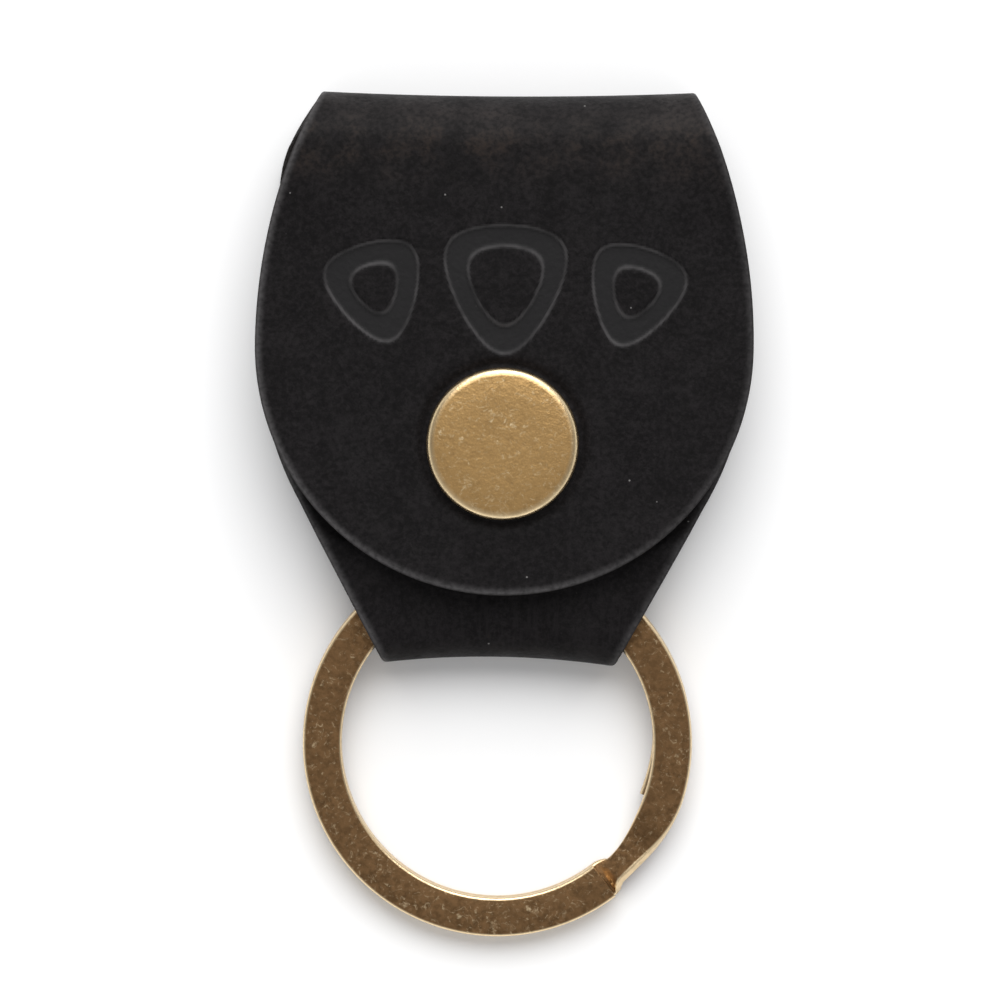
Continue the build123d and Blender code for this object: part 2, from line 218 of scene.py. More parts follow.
# ---- the leather's outline ----
class Outline:
    """Half widths of the layers as seen from above, from the sizes."""

    def __init__(self, sizes):
        self.fold = sizes.fold_half_width
        self.shoulder = sizes.shoulder_radius
        self.shoulder_x = BACK_HALF_WIDTH - self.shoulder
        reach = hypot(sizes.neck_half_width - self.shoulder_x, NECK_DOWN - WIDEST_DOWN)
        rise = atan2(NECK_DOWN - WIDEST_DOWN, sizes.neck_half_width - self.shoulder_x)
        self.flank = rise - acos(self.shoulder / reach)
        self.flank_x = self.shoulder_x + self.shoulder * cos(self.flank)
        self.flank_down = WIDEST_DOWN + self.shoulder * sin(self.flank)

    def upper(self, half_width, down):
        """Long arc from the fold to the widest line."""
        step = half_width - self.fold
        radius = (WIDEST_DOWN**2 + step**2) / (2 * step)
        above = np.clip(WIDEST_DOWN - down, 0, WIDEST_DOWN)
        return half_width - radius + np.sqrt(radius**2 - above**2)

    def flap(self, down):
        """Half width of the flap."""
        below = np.clip(down - WIDEST_DOWN, 0, FLAP_HALF_WIDTH)
        lower = np.sqrt(FLAP_HALF_WIDTH**2 - below**2)
        return np.where(down < WIDEST_DOWN, self.upper(FLAP_HALF_WIDTH, down), lower)

    def back(self, down):
        """Half width of the two lower layers."""
        below = np.clip(down - WIDEST_DOWN, 0, self.flank_down - WIDEST_DOWN)
        shoulder = self.shoulder_x + np.sqrt(self.shoulder**2 - below**2)
        flank = self.flank_x - (down - self.flank_down) * tan(self.flank)
        lower = np.where(down < self.flank_down, shoulder, flank)
        return np.where(down < WIDEST_DOWN, self.upper(BACK_HALF_WIDTH, down), lower)


class Route:
    """A line in the Y-Z plane, bent round its corners, along which a strip of leather runs."""

    STEP = 0.02 * MM

    def __init__(self, corners, radii, outer):
        points = np.array(corners, float)
        legs = np.diff(points, axis=0)
        headings = np.unwrap(np.arctan2(legs[:, 1], legs[:, 0]))
        turns = np.diff(headings)
        cuts = [0, *(r * tan(abs(t) / 2) for r, t in zip(radii, turns)), 0]
        knots, angles = [0.0], [headings[0]]
        for i, leg in enumerate(legs):
            knots.append(knots[-1] + hypot(*leg) - cuts[i] - cuts[i + 1])
            angles.append(headings[i])
            if i < len(turns):
                knots.append(knots[-1] + radii[i] * abs(turns[i]))
                angles.append(headings[i + 1])
        self.total = knots[-1]
        self.run = np.linspace(0, self.total, int(self.total / self.STEP))
        self.heading = np.interp(self.run, knots, angles)
        middle = (self.heading[1:] + self.heading[:-1]) / 2
        step = np.diff(self.run)
        self.y = points[0][0] + np.concatenate([[0], np.cumsum(np.cos(middle) * step)])
        self.z = points[0][1] + np.concatenate([[0], np.cumsum(np.sin(middle) * step)])
        self.outer = outer                      # 1 where the grain side is on the left, -1 on the right

    def at(self, run, offset):
        """Y and Z at a distance along the middle of the leather, and an offset towards the grain."""
        heading = np.interp(run, self.run, self.heading)
        y = np.interp(run, self.run, self.y) - self.outer * offset * np.sin(heading)
        z = np.interp(run, self.run, self.z) + self.outer * offset * np.cos(heading)
        return y, z

    def down(self, run):
        """Distance of the grain side below the top fold."""
        return TOP_Y - self.at(run, HALF)[0]


# ---- meshes ----
def linked(name, mesh):
    """A new object in the scene."""
    item = bpy.data.objects.new(name, mesh)
    bpy.context.scene.collection.objects.link(item)
    return item


def solid_mesh(name, points, faces, finish):
    """A smooth mesh with its faces outward. The finish says where it isn't smooth."""
    mesh = bpy.data.meshes.new(name)
    mesh.from_pydata(points, [], faces)
    work = bmesh.new()
    work.from_mesh(mesh)
    bmesh.ops.recalc_face_normals(work, faces=work.faces)
    work.faces.ensure_lookup_table()
    for face in work.faces:
        face.smooth = True
    finish(work)
    work.to_mesh(mesh)
    work.free()
    return mesh


def write_values(mesh, name, values):
    """One number for each point of a mesh, for its material to read."""
    attribute = mesh.attributes.new(name, "FLOAT", "POINT")
    attribute.data.foreach_set("value", np.asarray(values, np.float32))


def add_surface(piece, material):
    """Gives a piece its one material."""
    piece.data.materials.clear()
    piece.data.materials.append(material)


# ---- leather as a mesh ----
RIM_STEP = 0.7                  # spacing of the outline's points, as a share of the coarse grid's
RIM_CLEAR = 0.6                 # grid points stay this share of their spacing off the outline
SEAM_BOW = 0.04 * MM            # bends a straight seam while it's being triangulated


def resampled(points, step):
    """Evenly spaced points along an open line."""
    points = np.array(points, float)
    reach = np.concatenate([[0], np.cumsum(np.hypot(*np.diff(points, axis=0).T))])
    even = np.linspace(0, reach[-1], int(round(reach[-1] / step)) + 1)
    return np.stack([np.interp(even, reach, points[:, 0]), np.interp(even, reach, points[:, 1])], 1)


def inside(points, loop):
    """Which points lie in a closed loop."""
    found = np.zeros(len(points), bool)
    x, y = points.T
    for (ax, ay), (bx, by) in zip(loop, np.roll(loop, -1, axis=0)):
        if ay != by:
            found ^= ((ay > y) != (by > y)) & (x < (bx - ax) * (y - ay) / (by - ay) + ax)
    return found


def staggered(low, high, step):
    """Points in rows, each set off by half a step from the last."""
    rows = np.arange(low[1], high[1], step * sin(pi / 3))
    columns = np.arange(low[0], high[0], step)
    x, y = np.meshgrid(columns, rows)
    x = x + (np.arange(len(rows)) % 2)[:, None] * step / 2
    return np.stack([x.ravel(), y.ravel()], 1)


def distances(points, targets):
    """Distance from each point to the nearest of the targets."""
    tree = KDTree(len(targets))
    for i, target in enumerate(targets):
        tree.insert((*target, 0), i)
    tree.balance()
    return np.array([tree.find((*point, 0))[2] for point in points])


def flat_mesh(loop, edge, coarse, fine, is_fine):
    """Points and triangles that fill a loop: coarse ones, and fine ones where they are asked for."""
    low, high = loop.min(0), loop.max(0)
    kept = []
    for step, wanted in ((coarse, False), (fine, True)):
        points = staggered(low, high, step)
        points = points[is_fine(points, 0.0 if wanted else coarse / 2) == wanted]
        points = points[inside(points, loop)]
        kept.append(points[distances(points, loop) > RIM_CLEAR * min(step, coarse * RIM_STEP)])
    points = np.concatenate([loop, *kept])
    around = [(i, (i + 1) % len(loop)) for i in range(len(loop))]
    flat = [Vector(point) for point in points / MM]
    made = delaunay_2d_cdt(flat, around, [], 0, 1e-6, True)
    if len(made[0]) != len(points):
        raise RuntimeError("the leather's flat outline crosses itself")
    source = [origin[0] for origin in made[3]]
    triangles = within([[source[i] for i in face] for face in made[2]], len(loop))
    return points, triangles, distances(points, edge)


def within(triangles, loop_points):
    """The triangles inside a loop, which is made of the first points: all that can be reached
    from a point off the loop without crossing it."""
    beside = {}
    for i, (a, b, c) in enumerate(triangles):
        for line in ((a, b), (b, c), (c, a)):
            beside.setdefault(frozenset(line), []).append(i)
    fence = {frozenset((i, (i + 1) % loop_points)) for i in range(loop_points)}
    waiting = [next(i for i, t in enumerate(triangles) if min(t) >= loop_points)]
    found = set(waiting)
    while waiting:
        a, b, c = triangles[waiting.pop()]
        for line in ((a, b), (b, c), (c, a)):
            if frozenset(line) not in fence:
                fresh = set(beside[frozenset(line)]) - found
                found |= fresh
                waiting += fresh
    kept = [triangles[i] for i in sorted(found)]
    sides = [frozenset(line) for a, b, c in kept for line in ((a, b), (b, c), (c, a))]
    if sum(side in fence for side in sides) != loop_points:
        raise RuntimeError("the leather's outline isn't closed")
    return kept


def leather_mesh(name, outline, sizes, is_fine, place):
    """A closed sheet of leather with rounded edges. Its outline runs from one seam corner to the other."""
    edge = resampled(outline, RIM_STEP * sizes.coarse)
    along = np.gradient(edge, axis=0)
    out = np.stack([along[:, 1], -along[:, 0]], 1) / np.hypot(*along.T)[:, None]
    out[0] = (1, 0)
    out[-1] = (-1, 0)
    rim = edge - out * sizes.edge_round
    seam_points = int(hypot(*(rim[0] - rim[-1])) / sizes.coarse)
    share = np.linspace(0, 1, seam_points)[1:-1, None]
    seam = rim[-1] + share * (rim[0] - rim[-1])
    bowed = seam - share * (1 - share) * (0, SEAM_BOW)
    loop = np.concatenate([rim, bowed])
    points, triangles, inset = flat_mesh(loop, edge, sizes.coarse, sizes.fine, is_fine)
    points[len(rim):len(loop)] = seam

    quarter = [radians(a) for a in (67.5, 45, 22.5, 0)]
    upper = [(sizes.edge_round * cos(a), HALF - sizes.edge_round * (1 - sin(a))) for a in quarter]
    profile = upper + [(sizes.edge_round, 0)] + [(x, -z) for x, z in reversed(upper)]
    count, around = len(points), len(rim)
    flat = np.concatenate([points, points] + [rim + out * reach for reach, _ in profile])
    heights = [np.full(count, HALF), np.full(count, -HALF)]
    offset = np.concatenate(heights + [np.full(around, height) for _, height in profile])
    inset = np.concatenate([inset, inset, np.zeros(around * len(profile))])

    def ring(level, i):
        """A point of the rim: level 0 is the grain side, and the last is the flesh side."""
        if level == 0:
            return i
        if level > len(profile):
            return count + i
        return 2 * count + (level - 1) * around + i

    levels = range(len(profile) + 2)
    faces = [tuple(t) for t in triangles]
    faces += [tuple(count + i for i in reversed(t)) for t in triangles]
    for level in levels[:-1]:
        for i in range(around - 1):
            faces.append((ring(level, i), ring(level + 1, i), ring(level + 1, i + 1), ring(level, i + 1)))
    top_seam = [around - 1, *range(around, len(loop)), 0]
    right = [ring(level, 0) for level in levels[1:-1]]
    under_seam = [count + i for i in reversed(top_seam)]
    left = [ring(level, around - 1) for level in reversed(levels[1:-1])]
    faces.append(tuple(top_seam + right + under_seam + left))

    def finish(work):
        """The seam's own face is flat, and its edges are sharp."""
        seam_face = work.faces[len(faces) - 1]
        seam_face.smooth = False
        for line in seam_face.edges:
            line.smooth = False

    x, run = flat.T
    mesh = solid_mesh(name, np.stack(place(x, run, offset), 1).tolist(), faces, finish)
    write_values(mesh, "layer", offset / HALF)
    write_values(mesh, "inset", inset)
    return linked(name, mesh)


def mirrored(right):
    """A right-hand side and its mirror image, as one line from seam to seam."""
    return right + [(-x, run) for x, run in reversed(right)]


# ---- how the leather lies ----
SKEW_FADE = 12 * MM             # the fold's skew and the shift of the layers die out below this
SHIFT_FADE = 9.5 * MM


def top_dip(x, down, sizes):
    """The top fold sinks a little in its middle, and is a little out of square."""
    across = x / sizes.fold_half_width
    dip = sizes.fold_dip * (1 - across**2) * (1 - smooth(down, 0, FOLD_OUTER))
    return dip - sizes.fold_skew * across * (1 - smooth(down, 0, SKEW_FADE))


def layer_shift(x, down, sizes):
    """The lower layers show past the flap's upper left side."""
    bump = np.sin(pi * np.clip(down / SHIFT_FADE, 0, 1))
    return sizes.layer_shift * bump * np.clip(-x / sizes.fold_half_width, 0, 1)


def ripple(x, y):
    """Slow unevenness of hand-cut hide, from -1 to 1."""
    waves = ((0.42, 0.17, 0.4), (-0.21, 0.36, 1.9), (0.13, -0.52, 4.1), (0.61, 0.44, 2.7))
    return sum(np.sin((a * x + b * y) / MM + phase) for a, b, phase in waves) / len(waves)


def plectrum(x, y, size):
    """Signed distance to a plectrum's outline, point down: three wide arcs with rounded corners."""
    arc, inner, rounding = 1.25 * size, 0.335 * size, 0.085 * size
    sides = []
    for turn in (90, -30, 210):
        nx, ny = cos(radians(turn)), sin(radians(turn))
        sides.append(np.hypot(x + nx * (arc - inner), 0.92 * y + ny * (arc - inner)) - arc)
    sides = np.array(sides)
    return rounding * np.log(np.sum(np.exp(sides / rounding), axis=0))


# Each plectrum of the motif: how far sideways and down it is, its size, and its lean in degrees.
MOTIF_PICKS = (
    (0.0, 15.6 * MM, 12.6 * MM, 0),
    (-10.6 * MM, 16.2 * MM, 9.8 * MM, -16),
    (10.6 * MM, 16.2 * MM, 9.8 * MM, 16),
)
MOTIF_WALL = 0.14 * MM          # half the width of the motif's sloping walls
MOTIF_DOWN = 15.8 * MM          # middle of the zone that holds the motif
MOTIF_HALF_WIDTH = 16.5 * MM
MOTIF_HALF_HEIGHT = 7.6 * MM


def motif(x, down, sizes):
    """How deep the pressed motif is: the outlines of three plectrums."""
    deep = np.zeros_like(x)
    for across, middle, size, lean in MOTIF_PICKS:
        turn = radians(lean)
        dx, dy = x - across, middle - down
        reach = plectrum(dx * cos(turn) - dy * sin(turn), dx * sin(turn) + dy * cos(turn), size)
        line = np.abs(reach + sizes.motif_stroke / 2) - sizes.motif_stroke / 2
        deep = np.maximum(deep, 1 - smooth(line, -MOTIF_WALL, MOTIF_WALL))
    return sizes.motif_depth * deep


BEAR_ROOM = 0.14 * MM           # ring's inner edge to the leather that bears on it
SQUEEZED = 0.36                 # share of the leather's thickness that is left there
BEAR_FADE = (1.3 * MM, 1.75 * MM)       # the squeeze dies out between these heights over the ring
BEAR_DOWN = (LOOP_DOWN - 0.6 * MM, LOOP_DOWN + 0.2 * MM)
MOST_PUSH = 2 * MM


def clear_of_ring(x, y, z, offset, sizes):
    """Squeezes the bottom fold where it bears on the ring's inner edge."""
    away = np.stack([x, y - RING_CENTRE.y, z - RING_CENTRE.z], 1)
    height = away @ np.array(RING_AXIS)
    flat = away - height[:, None] * np.array(RING_AXIS)
    radius = np.sqrt((flat**2).sum(1))
    hole = RING_RADIUS - sizes.wire_width
    layer = (offset + HALF) / LEATHER           # 0 on the flesh side, 1 on the grain side
    limit = hole - BEAR_ROOM - layer * SQUEEZED * LEATHER
    near = 1 - smooth(np.abs(height), *BEAR_FADE)
    low = smooth(TOP_Y - y, *BEAR_DOWN)
    push = np.clip(radius - limit, 0, MOST_PUSH) * near * low
    return x - flat[:, 0] / radius * push, y - flat[:, 1] / radius * push, z - flat[:, 2] / radius * push


def stitch_line(x, down, outline, sizes):
    """Distance to the row of stitches, and how much of the row is beside this point."""
    away = np.abs(outline.back(down) - np.abs(x) - sizes.stitch_inset)
    blunt = 0.3 * MM
    within = smooth(down, sizes.stitch_top_down - 2 * blunt, sizes.stitch_top_down - blunt)
    within *= 1 - smooth(down, sizes.stitch_end_down + blunt, sizes.stitch_end_down + 2 * blunt)
    return away, within


def stitch_holes(side, outline, sizes):
    """Where the thread goes through both layers, beside one edge."""
    downs = np.linspace(sizes.stitch_top_down, sizes.stitch_end_down, sizes.stitch_count + 1)
    return [(side * (float(outline.back(d)) - sizes.stitch_inset), TOP_Y - d) for d in downs]


PRESS_INSET = 4.2 * MM          # the pocket's sides lie on the back panel this far in
PRESS_FADE = 4.3 * MM           # and rise to the pocket's full depth over this width
PRESS_END = (33.2 * MM, 37.5 * MM)      # the sides come apart again between these, towards the ring


def pressed(x, down, outline):
    """How much the pocket panel is drawn down onto the back panel, from 0 to 1."""
    inset = outline.back(down) - np.abs(x)
    sides = 1 - smooth(inset, PRESS_INSET, PRESS_INSET + PRESS_FADE)
    return sides * (1 - smooth(down, *PRESS_END))


FLAP_FREE = 8 * MM              # the flap's own unevenness comes in over this length past the fold
DROOP_FADE = (28 * MM, 40 * MM)         # the sides droop less between these
UNEVEN = 0.05 * MM
SNAP_ZONE = (6.6 * MM, 1.0 * MM)        # radius and half width of the fine grid round the cap
CAP_SINK = (0.25 * MM, 0.45 * MM)       # dent round the cap: distance from its edge, and width
CAP_SINK_DEPTH = 0.2 * MM
CAP_SWELL = (1.5 * MM, 0.8 * MM)        # and the swelling outside the dent
CAP_SWELL_HEIGHT = 0.05 * MM
FOLD_POINTS, SIDE_POINTS = 24, 90       # points along the outline's curves


def build_flap(sizes, colours):
    """The flap and the whole top fold, one sheet that ends in a butt seam under the fold."""
    outline = Outline(sizes)
    seam_y = TOP_Y - FOLD_OUTER
    far_y = TOP_Y - HALF
    high = FLAP_TOP - HALF
    corners = [(seam_y, HALF), (far_y, HALF), (far_y, high), (flap_low.y, high)]
    route = Route(corners, [FOLD_MIDDLE, FOLD_MIDDLE], -1)
    turn = pi * FOLD_MIDDLE
    right = []
    for run in np.linspace(0, turn / 2, FOLD_POINTS):
        right.append((float(outline.back(route.down(run))), run))
    wide = turn + WIDEST_DOWN - FOLD_OUTER
    for run in np.linspace(turn / 2, wide, SIDE_POINTS)[1:]:
        right.append((float(outline.flap(route.down(run))), run))
    for step in np.linspace(0, pi / 2, SIDE_POINTS)[1:]:
        right.append((FLAP_HALF_WIDTH * cos(step), wide + FLAP_HALF_WIDTH * sin(step)))
    line = mirrored(right[:-1] + [(0.0, right[-1][1])])
    line.pop(len(right))

    def is_fine(points, margin):
        down = points[:, 1] - turn + FOLD_OUTER
        across = np.abs(points[:, 0]) < MOTIF_HALF_WIDTH + margin
        motif_zone = across & (np.abs(down - MOTIF_DOWN) < MOTIF_HALF_HEIGHT + margin)
        snap = np.hypot(points[:, 0], down - SNAP_DOWN)
        return motif_zone | (np.abs(snap - SNAP_ZONE[0]) < SNAP_ZONE[1] + margin)

    def place(x, run, offset):
        y, z = route.at(run, offset)
        down = TOP_Y - y
        grain = smooth(offset, 0, HALF)
        lower = 1 - smooth(run, 0.3 * turn, 0.5 * turn)
        open_flap = smooth(run, turn, turn + FLAP_FREE)
        x = x - layer_shift(x, down, sizes) * lower
        y = y - top_dip(x, down, sizes)
        side = smooth(np.abs(x) / FLAP_HALF_WIDTH, 0.4, 1.0)
        z = z - open_flap * side * sizes.side_droop * (1 - 0.6 * smooth(down, *DROOP_FADE))
        z = z + open_flap * UNEVEN * ripple(x, y)
        off_cap = np.hypot(x, y - SNAP_Y) - cap_high.x
        dent = CAP_SINK_DEPTH * bell(off_cap, *CAP_SINK) - CAP_SWELL_HEIGHT * bell(off_cap, *CAP_SWELL)
        z = z - grain * open_flap * dent
        z = z - grain * open_flap * motif(x, down, sizes)
        return x, y, z

    piece = leather_mesh("flap_leather", line, sizes, is_fine, place)
    co = np.array([point.co for point in piece.data.vertices])
    layer = np.array([item.value for item in piece.data.attributes["layer"].data])
    on_flap = (layer > 0.9) & (co[:, 2] > FLAP_UNDER)
    write_values(piece.data, "pressed", on_flap * motif(co[:, 0], TOP_Y - co[:, 1], sizes) / sizes.motif_depth)
    add_surface(piece, leather_material(colours))
    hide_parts("flap")
    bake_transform(piece)


BACK_POINTS, MOUTH_POINTS = 260, 40     # points along the outline's curves
MOUTH_CUT = 0.6 * MM            # size of the mouth's cut corners
CORNER_CUT = (0.15 * MM, 0.2 * MM)      # and of the small cut next to each
STITCH_ZONE = 0.8 * MM          # half width of the fine grid along the stitches
THREAD_PULL = 0.16 * MM         # how deep the thread draws the leather in along the row
PULL_FADE = (0.15 * MM, 0.7 * MM)
HOLE_PULL = 0.3 * MM            # and at each hole, over a radius of the same size
GROOVE_FADE = (0.24 * MM, 0.5 * MM)
BELLY = 0.12 * MM               # how far the pocket panel stands out below its mouth
BELLY_DOWN = (14 * MM, 20 * MM, 22 * MM, 26 * MM)
DIP_DOWN = 39 * MM              # the bottom fold's dip starts here


def build_pocket(sizes, colours):
    """Back panel, bottom fold and pocket panel, one sheet from the butt seam to the mouth."""
    outline = Outline(sizes)
    seam_y = TOP_Y - FOLD_OUTER
    centre = np.array([TOP_Y - LOOP_DOWN, LOOP_OUTER])
    half_turn = (pi - RING_LEAN) / 2
    reach = LOOP_MIDDLE / cos(half_turn / 2)
    first = -pi / 2 - half_turn / 2
    bends = [centre + reach * np.array([cos(a), sin(a)]) for a in (first, first - half_turn)]
    crest = pocket_crest(sizes)
    valley = (crest_end(sizes), POCKET_UNDER + HALF)
    mouth = (TOP_Y - sizes.mouth_down, POCKET_UNDER + HALF)
    corners = [(seam_y, HALF), *bends, crest, valley, mouth]
    route = Route(corners, [LOOP_MIDDLE, LOOP_MIDDLE, sizes.bend_radius, sizes.bend_radius], 1)

    mouth_half = float(outline.back(sizes.mouth_down)) - MOUTH_CUT
    dip_radius = (mouth_half**2 + sizes.mouth_sag**2) / (2 * sizes.mouth_sag)
    right = []
    for run in np.linspace(0, route.total - MOUTH_CUT, BACK_POINTS):
        right.append((float(outline.back(route.down(run))), run))
    corner_x = right[-1][0]
    right += [(corner_x - CORNER_CUT[0], route.total - CORNER_CUT[1]), (mouth_half, route.total)]
    for x in np.linspace(mouth_half, 0, MOUTH_POINTS)[1:]:
        sag = sizes.mouth_sag - dip_radius + (dip_radius**2 - x**2) ** 0.5
        right.append((x, route.total - sag))
    line = mirrored(right)
    line.pop(len(right))

    def is_fine(points, margin):
        x, run = points.T
        down = route.down(run)
        away, _ = stitch_line(x, down, outline, sizes)
        rows = (down > sizes.stitch_top_down - MM - margin) & (down < sizes.stitch_end_down + MM + margin)
        return rows & (away < STITCH_ZONE + margin)

    fold_start = LOOP_DOWN - FOLD_OUTER
    fold_end = fold_start + 2 * half_turn * LOOP_MIDDLE

    def place(x, run, offset):
        y, z = route.at(run, offset)
        down = TOP_Y - y
        x = x * outline.back(down) / outline.back(route.down(run))
        grain = smooth(offset, 0, HALF)
        front = smooth(run, fold_end, fold_end + MM)
        away, within = stitch_line(x, down, outline, sizes)
        holes = np.array([hole for side in (-1, 1) for hole in stitch_holes(side, outline, sizes)])
        to_hole = np.hypot(x[:, None] - holes[:, 0], y[:, None] - holes[:, 1]).min(1)
        pull = THREAD_PULL * (1 - smooth(away, *PULL_FADE)) * within
        pull = pull + HOLE_PULL * bell(to_hole, 0, HOLE_PULL)
        press = pressed(x, down, outline)
        z = z - front * press * POCKET_GAP - front * grain * pull
        belly = BELLY * (1 - press) * smooth(down, *BELLY_DOWN[:2]) * (1 - smooth(down, *BELLY_DOWN[2:]))
        z = z + front * belly
        groove = sizes.groove * (1 - smooth(away, *GROOVE_FADE)) * within
        z = z + (1 - front) * grain * groove
        dip = sizes.neck_dip * (1 - (x / sizes.neck_half_width) ** 2)
        y = y + np.clip(dip, 0, None) * smooth(down, DIP_DOWN, NECK_DOWN)
        x = x - layer_shift(x, down, sizes) * (1 - front)
        y = y - top_dip(x, down, sizes) * (1 - front)
        x, y, z = clear_of_ring(x, y, z, offset, sizes)
        return x, y, np.maximum(z, 0)

    piece = leather_mesh("pocket_leather", line, sizes, is_fine, place)
    add_surface(piece, leather_material(colours))
    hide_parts("back_panel", "bottom_fold", "pocket_panel")
    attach(piece, "holder")


CREST_ROOM = 0.15 * MM          # pocket panel's underside to the ring
CREST_LEAD = 0.25 * MM          # ring's outside to the crest's corner
VALLEY_ROOM = 1.1 * MM          # snap's stud to where the slope ends


def ring_face(down, sizes):
    """Height of the ring's front face."""
    half = sizes.wire_thick + sizes.coil_gap / 2
    return RING_CENTRE.z + half / cos(RING_LEAN) + (down - (TOP_Y - RING_CENTRE.y)) * -tan(RING_LEAN)


def slopes(sizes):
    """The pocket panel's underside: where it starts to fall from over the ring, and where it is flat."""
    peak_down = TOP_Y - RING_CENTRE.y - RING_RADIUS - CREST_ROOM - CREST_LEAD
    peak = np.array([TOP_Y - peak_down, ring_face(peak_down, sizes) + CREST_ROOM / cos(RING_LEAN)])
    valley_down = SNAP_DOWN + stud_high.x + VALLEY_ROOM
    return peak, np.array([TOP_Y - valley_down, POCKET_UNDER])


def pocket_crest(sizes):
    """Middle of the leather at the crest over the ring."""
    peak, valley = slopes(sizes)
    fall = atan2(valley[1] - peak[1], valley[0] - peak[0])
    bisector = (RING_LEAN + fall) / 2 + pi / 2
    reach = HALF / cos((RING_LEAN - fall) / 2)
    return peak + reach * np.array([cos(bisector), sin(bisector)])


def crest_end(sizes):
    """Y of the middle of the leather where the fall from the crest ends."""
    peak, valley = slopes(sizes)
    fall = atan2(valley[1] - peak[1], valley[0] - peak[0])
    return valley[0] - HALF * tan(fall / 2)


# ---- node trees ----
class Nodes:
    """Adds nodes to a tree. A socket given as a value is linked, and anything else is set."""

    def __init__(self, tree):
        self.tree = tree
        tree.nodes.clear()

    def add(self, kind, values=None, **settings):
        node = self.tree.nodes.new(kind)
        for key, value in settings.items():
            setattr(node, key, value)
        for key, value in (values or {}).items():
            socket = node.inputs[key]
            if isinstance(value, bpy.types.NodeSocket):
                self.tree.links.new(value, socket)
            else:
                socket.default_value = value
        return node

    def math(self, operation, *values):
        """One Math node, with its values in order."""
        return self.add("ShaderNodeMath", dict(enumerate(values)), operation=operation).outputs[0]

    def times(self, first, *others):
        """A product."""
        for other in others:
            first = self.math("MULTIPLY", first, other)
        return first

    def plus(self, first, second):
        """A sum."""
        return self.math("ADD", first, second)

    def minus(self, first, second):
        """A difference."""
        return self.math("SUBTRACT", first, second)

    def vector(self, operation, *values, output=0):
        """One Vector Math node, with its values in order."""
        node = self.add("ShaderNodeVectorMath", dict(enumerate(values)), operation=operation)
        return node.outputs[output]

    def step(self, value, low, high, start=0.0, end=1.0):
        """A smooth step from start, at low, to end, at high."""
        values = {"Value": value, "From Min": low, "From Max": high, "To Min": start, "To Max": end}
        return self.add("ShaderNodeMapRange", values, interpolation_type="SMOOTHSTEP").outputs[0]

    def mix(self, share, first, second, blend="MIX"):
        """Two colours mixed."""
        node = self.add("ShaderNodeMix", {0: share, 6: first, 7: second}, data_type="RGBA", blend_type=blend)
        return node.outputs[2]

    def noise(self, where, scale, detail=2.0, roughness=0.5):
        """Noise from 0 to 1, with its features' size in metres turned into a scale."""
        values = {"Vector": where, "Scale": 1 / scale, "Detail": detail, "Roughness": roughness}
        return self.add("ShaderNodeTexNoise", values).outputs[0]

    def cells(self, where, size, **settings):
        """Cells of a size in metres."""
        return self.add("ShaderNodeTexVoronoi", {"Vector": where, "Scale": 1 / size}, **settings)

    def bent(self, where, size, reach, detail):
        """A place, pushed about by noise."""
        warp = self.add("ShaderNodeTexNoise", {"Vector": where, "Scale": 1 / size, "Detail": detail})
        return self.vector("MULTIPLY_ADD", warp.outputs["Color"], (reach,) * 3, where)

    def split(self, where):
        """The three parts of a vector."""
        return self.add("ShaderNodeSeparateXYZ", {0: where}).outputs

    def joined(self, x, y, z):
        """A vector from its parts."""
        return self.add("ShaderNodeCombineXYZ", {0: x, 1: y, 2: z}).outputs[0]

    def value_of(self, name):
        """A number that the mesh holds for each of its points."""
        return self.add("ShaderNodeAttribute", attribute_name=name).outputs["Fac"]

    def surface(self, values, **fixed):
        """The shader and the output. Linked values come first, and fixed ones stay on the shader."""
        shader = self.add("ShaderNodeBsdfPrincipled", {**values, **fixed})
        self.add("ShaderNodeOutputMaterial", {"Surface": shader.outputs[0]})

    def bump(self, height, depth, normal=None, strength=1.0):
        """Relief of a depth in metres, over another relief if one is given."""
        values = {"Height": height, "Distance": depth, "Strength": strength}
        if normal is not None:
            values["Normal"] = normal
        return self.add("ShaderNodeBump", values).outputs[0]


def new_material(name):
    """A material with an empty tree, and where its patterns are placed."""
    material = bpy.data.materials.get(name)
    if material:
        return material, None, None
    material = bpy.data.materials.new(name)
    material.use_nodes = True
    nodes = Nodes(material.node_tree)
    return material, nodes, nodes.add("ShaderNodeTexCoord").outputs["Object"]


GREY_RUB = (10 * MM, 2.5 * MM)          # distances below the top fold where the grey rub starts and is full
BROWN_RUB = (1.0 * MM, 4.0 * MM, 4.5 * MM, 8.5 * MM)
NECK_CREASES = (39 * MM, 43 * MM)
RIM_WIDTH = (0.8 * MM, 0.02 * MM)
RIM_RIGHT = (3 * MM, 14 * MM)           # the burnished rim is fainter towards the right
LINT_COLOUR = (0.16, 0.155, 0.15, 1)


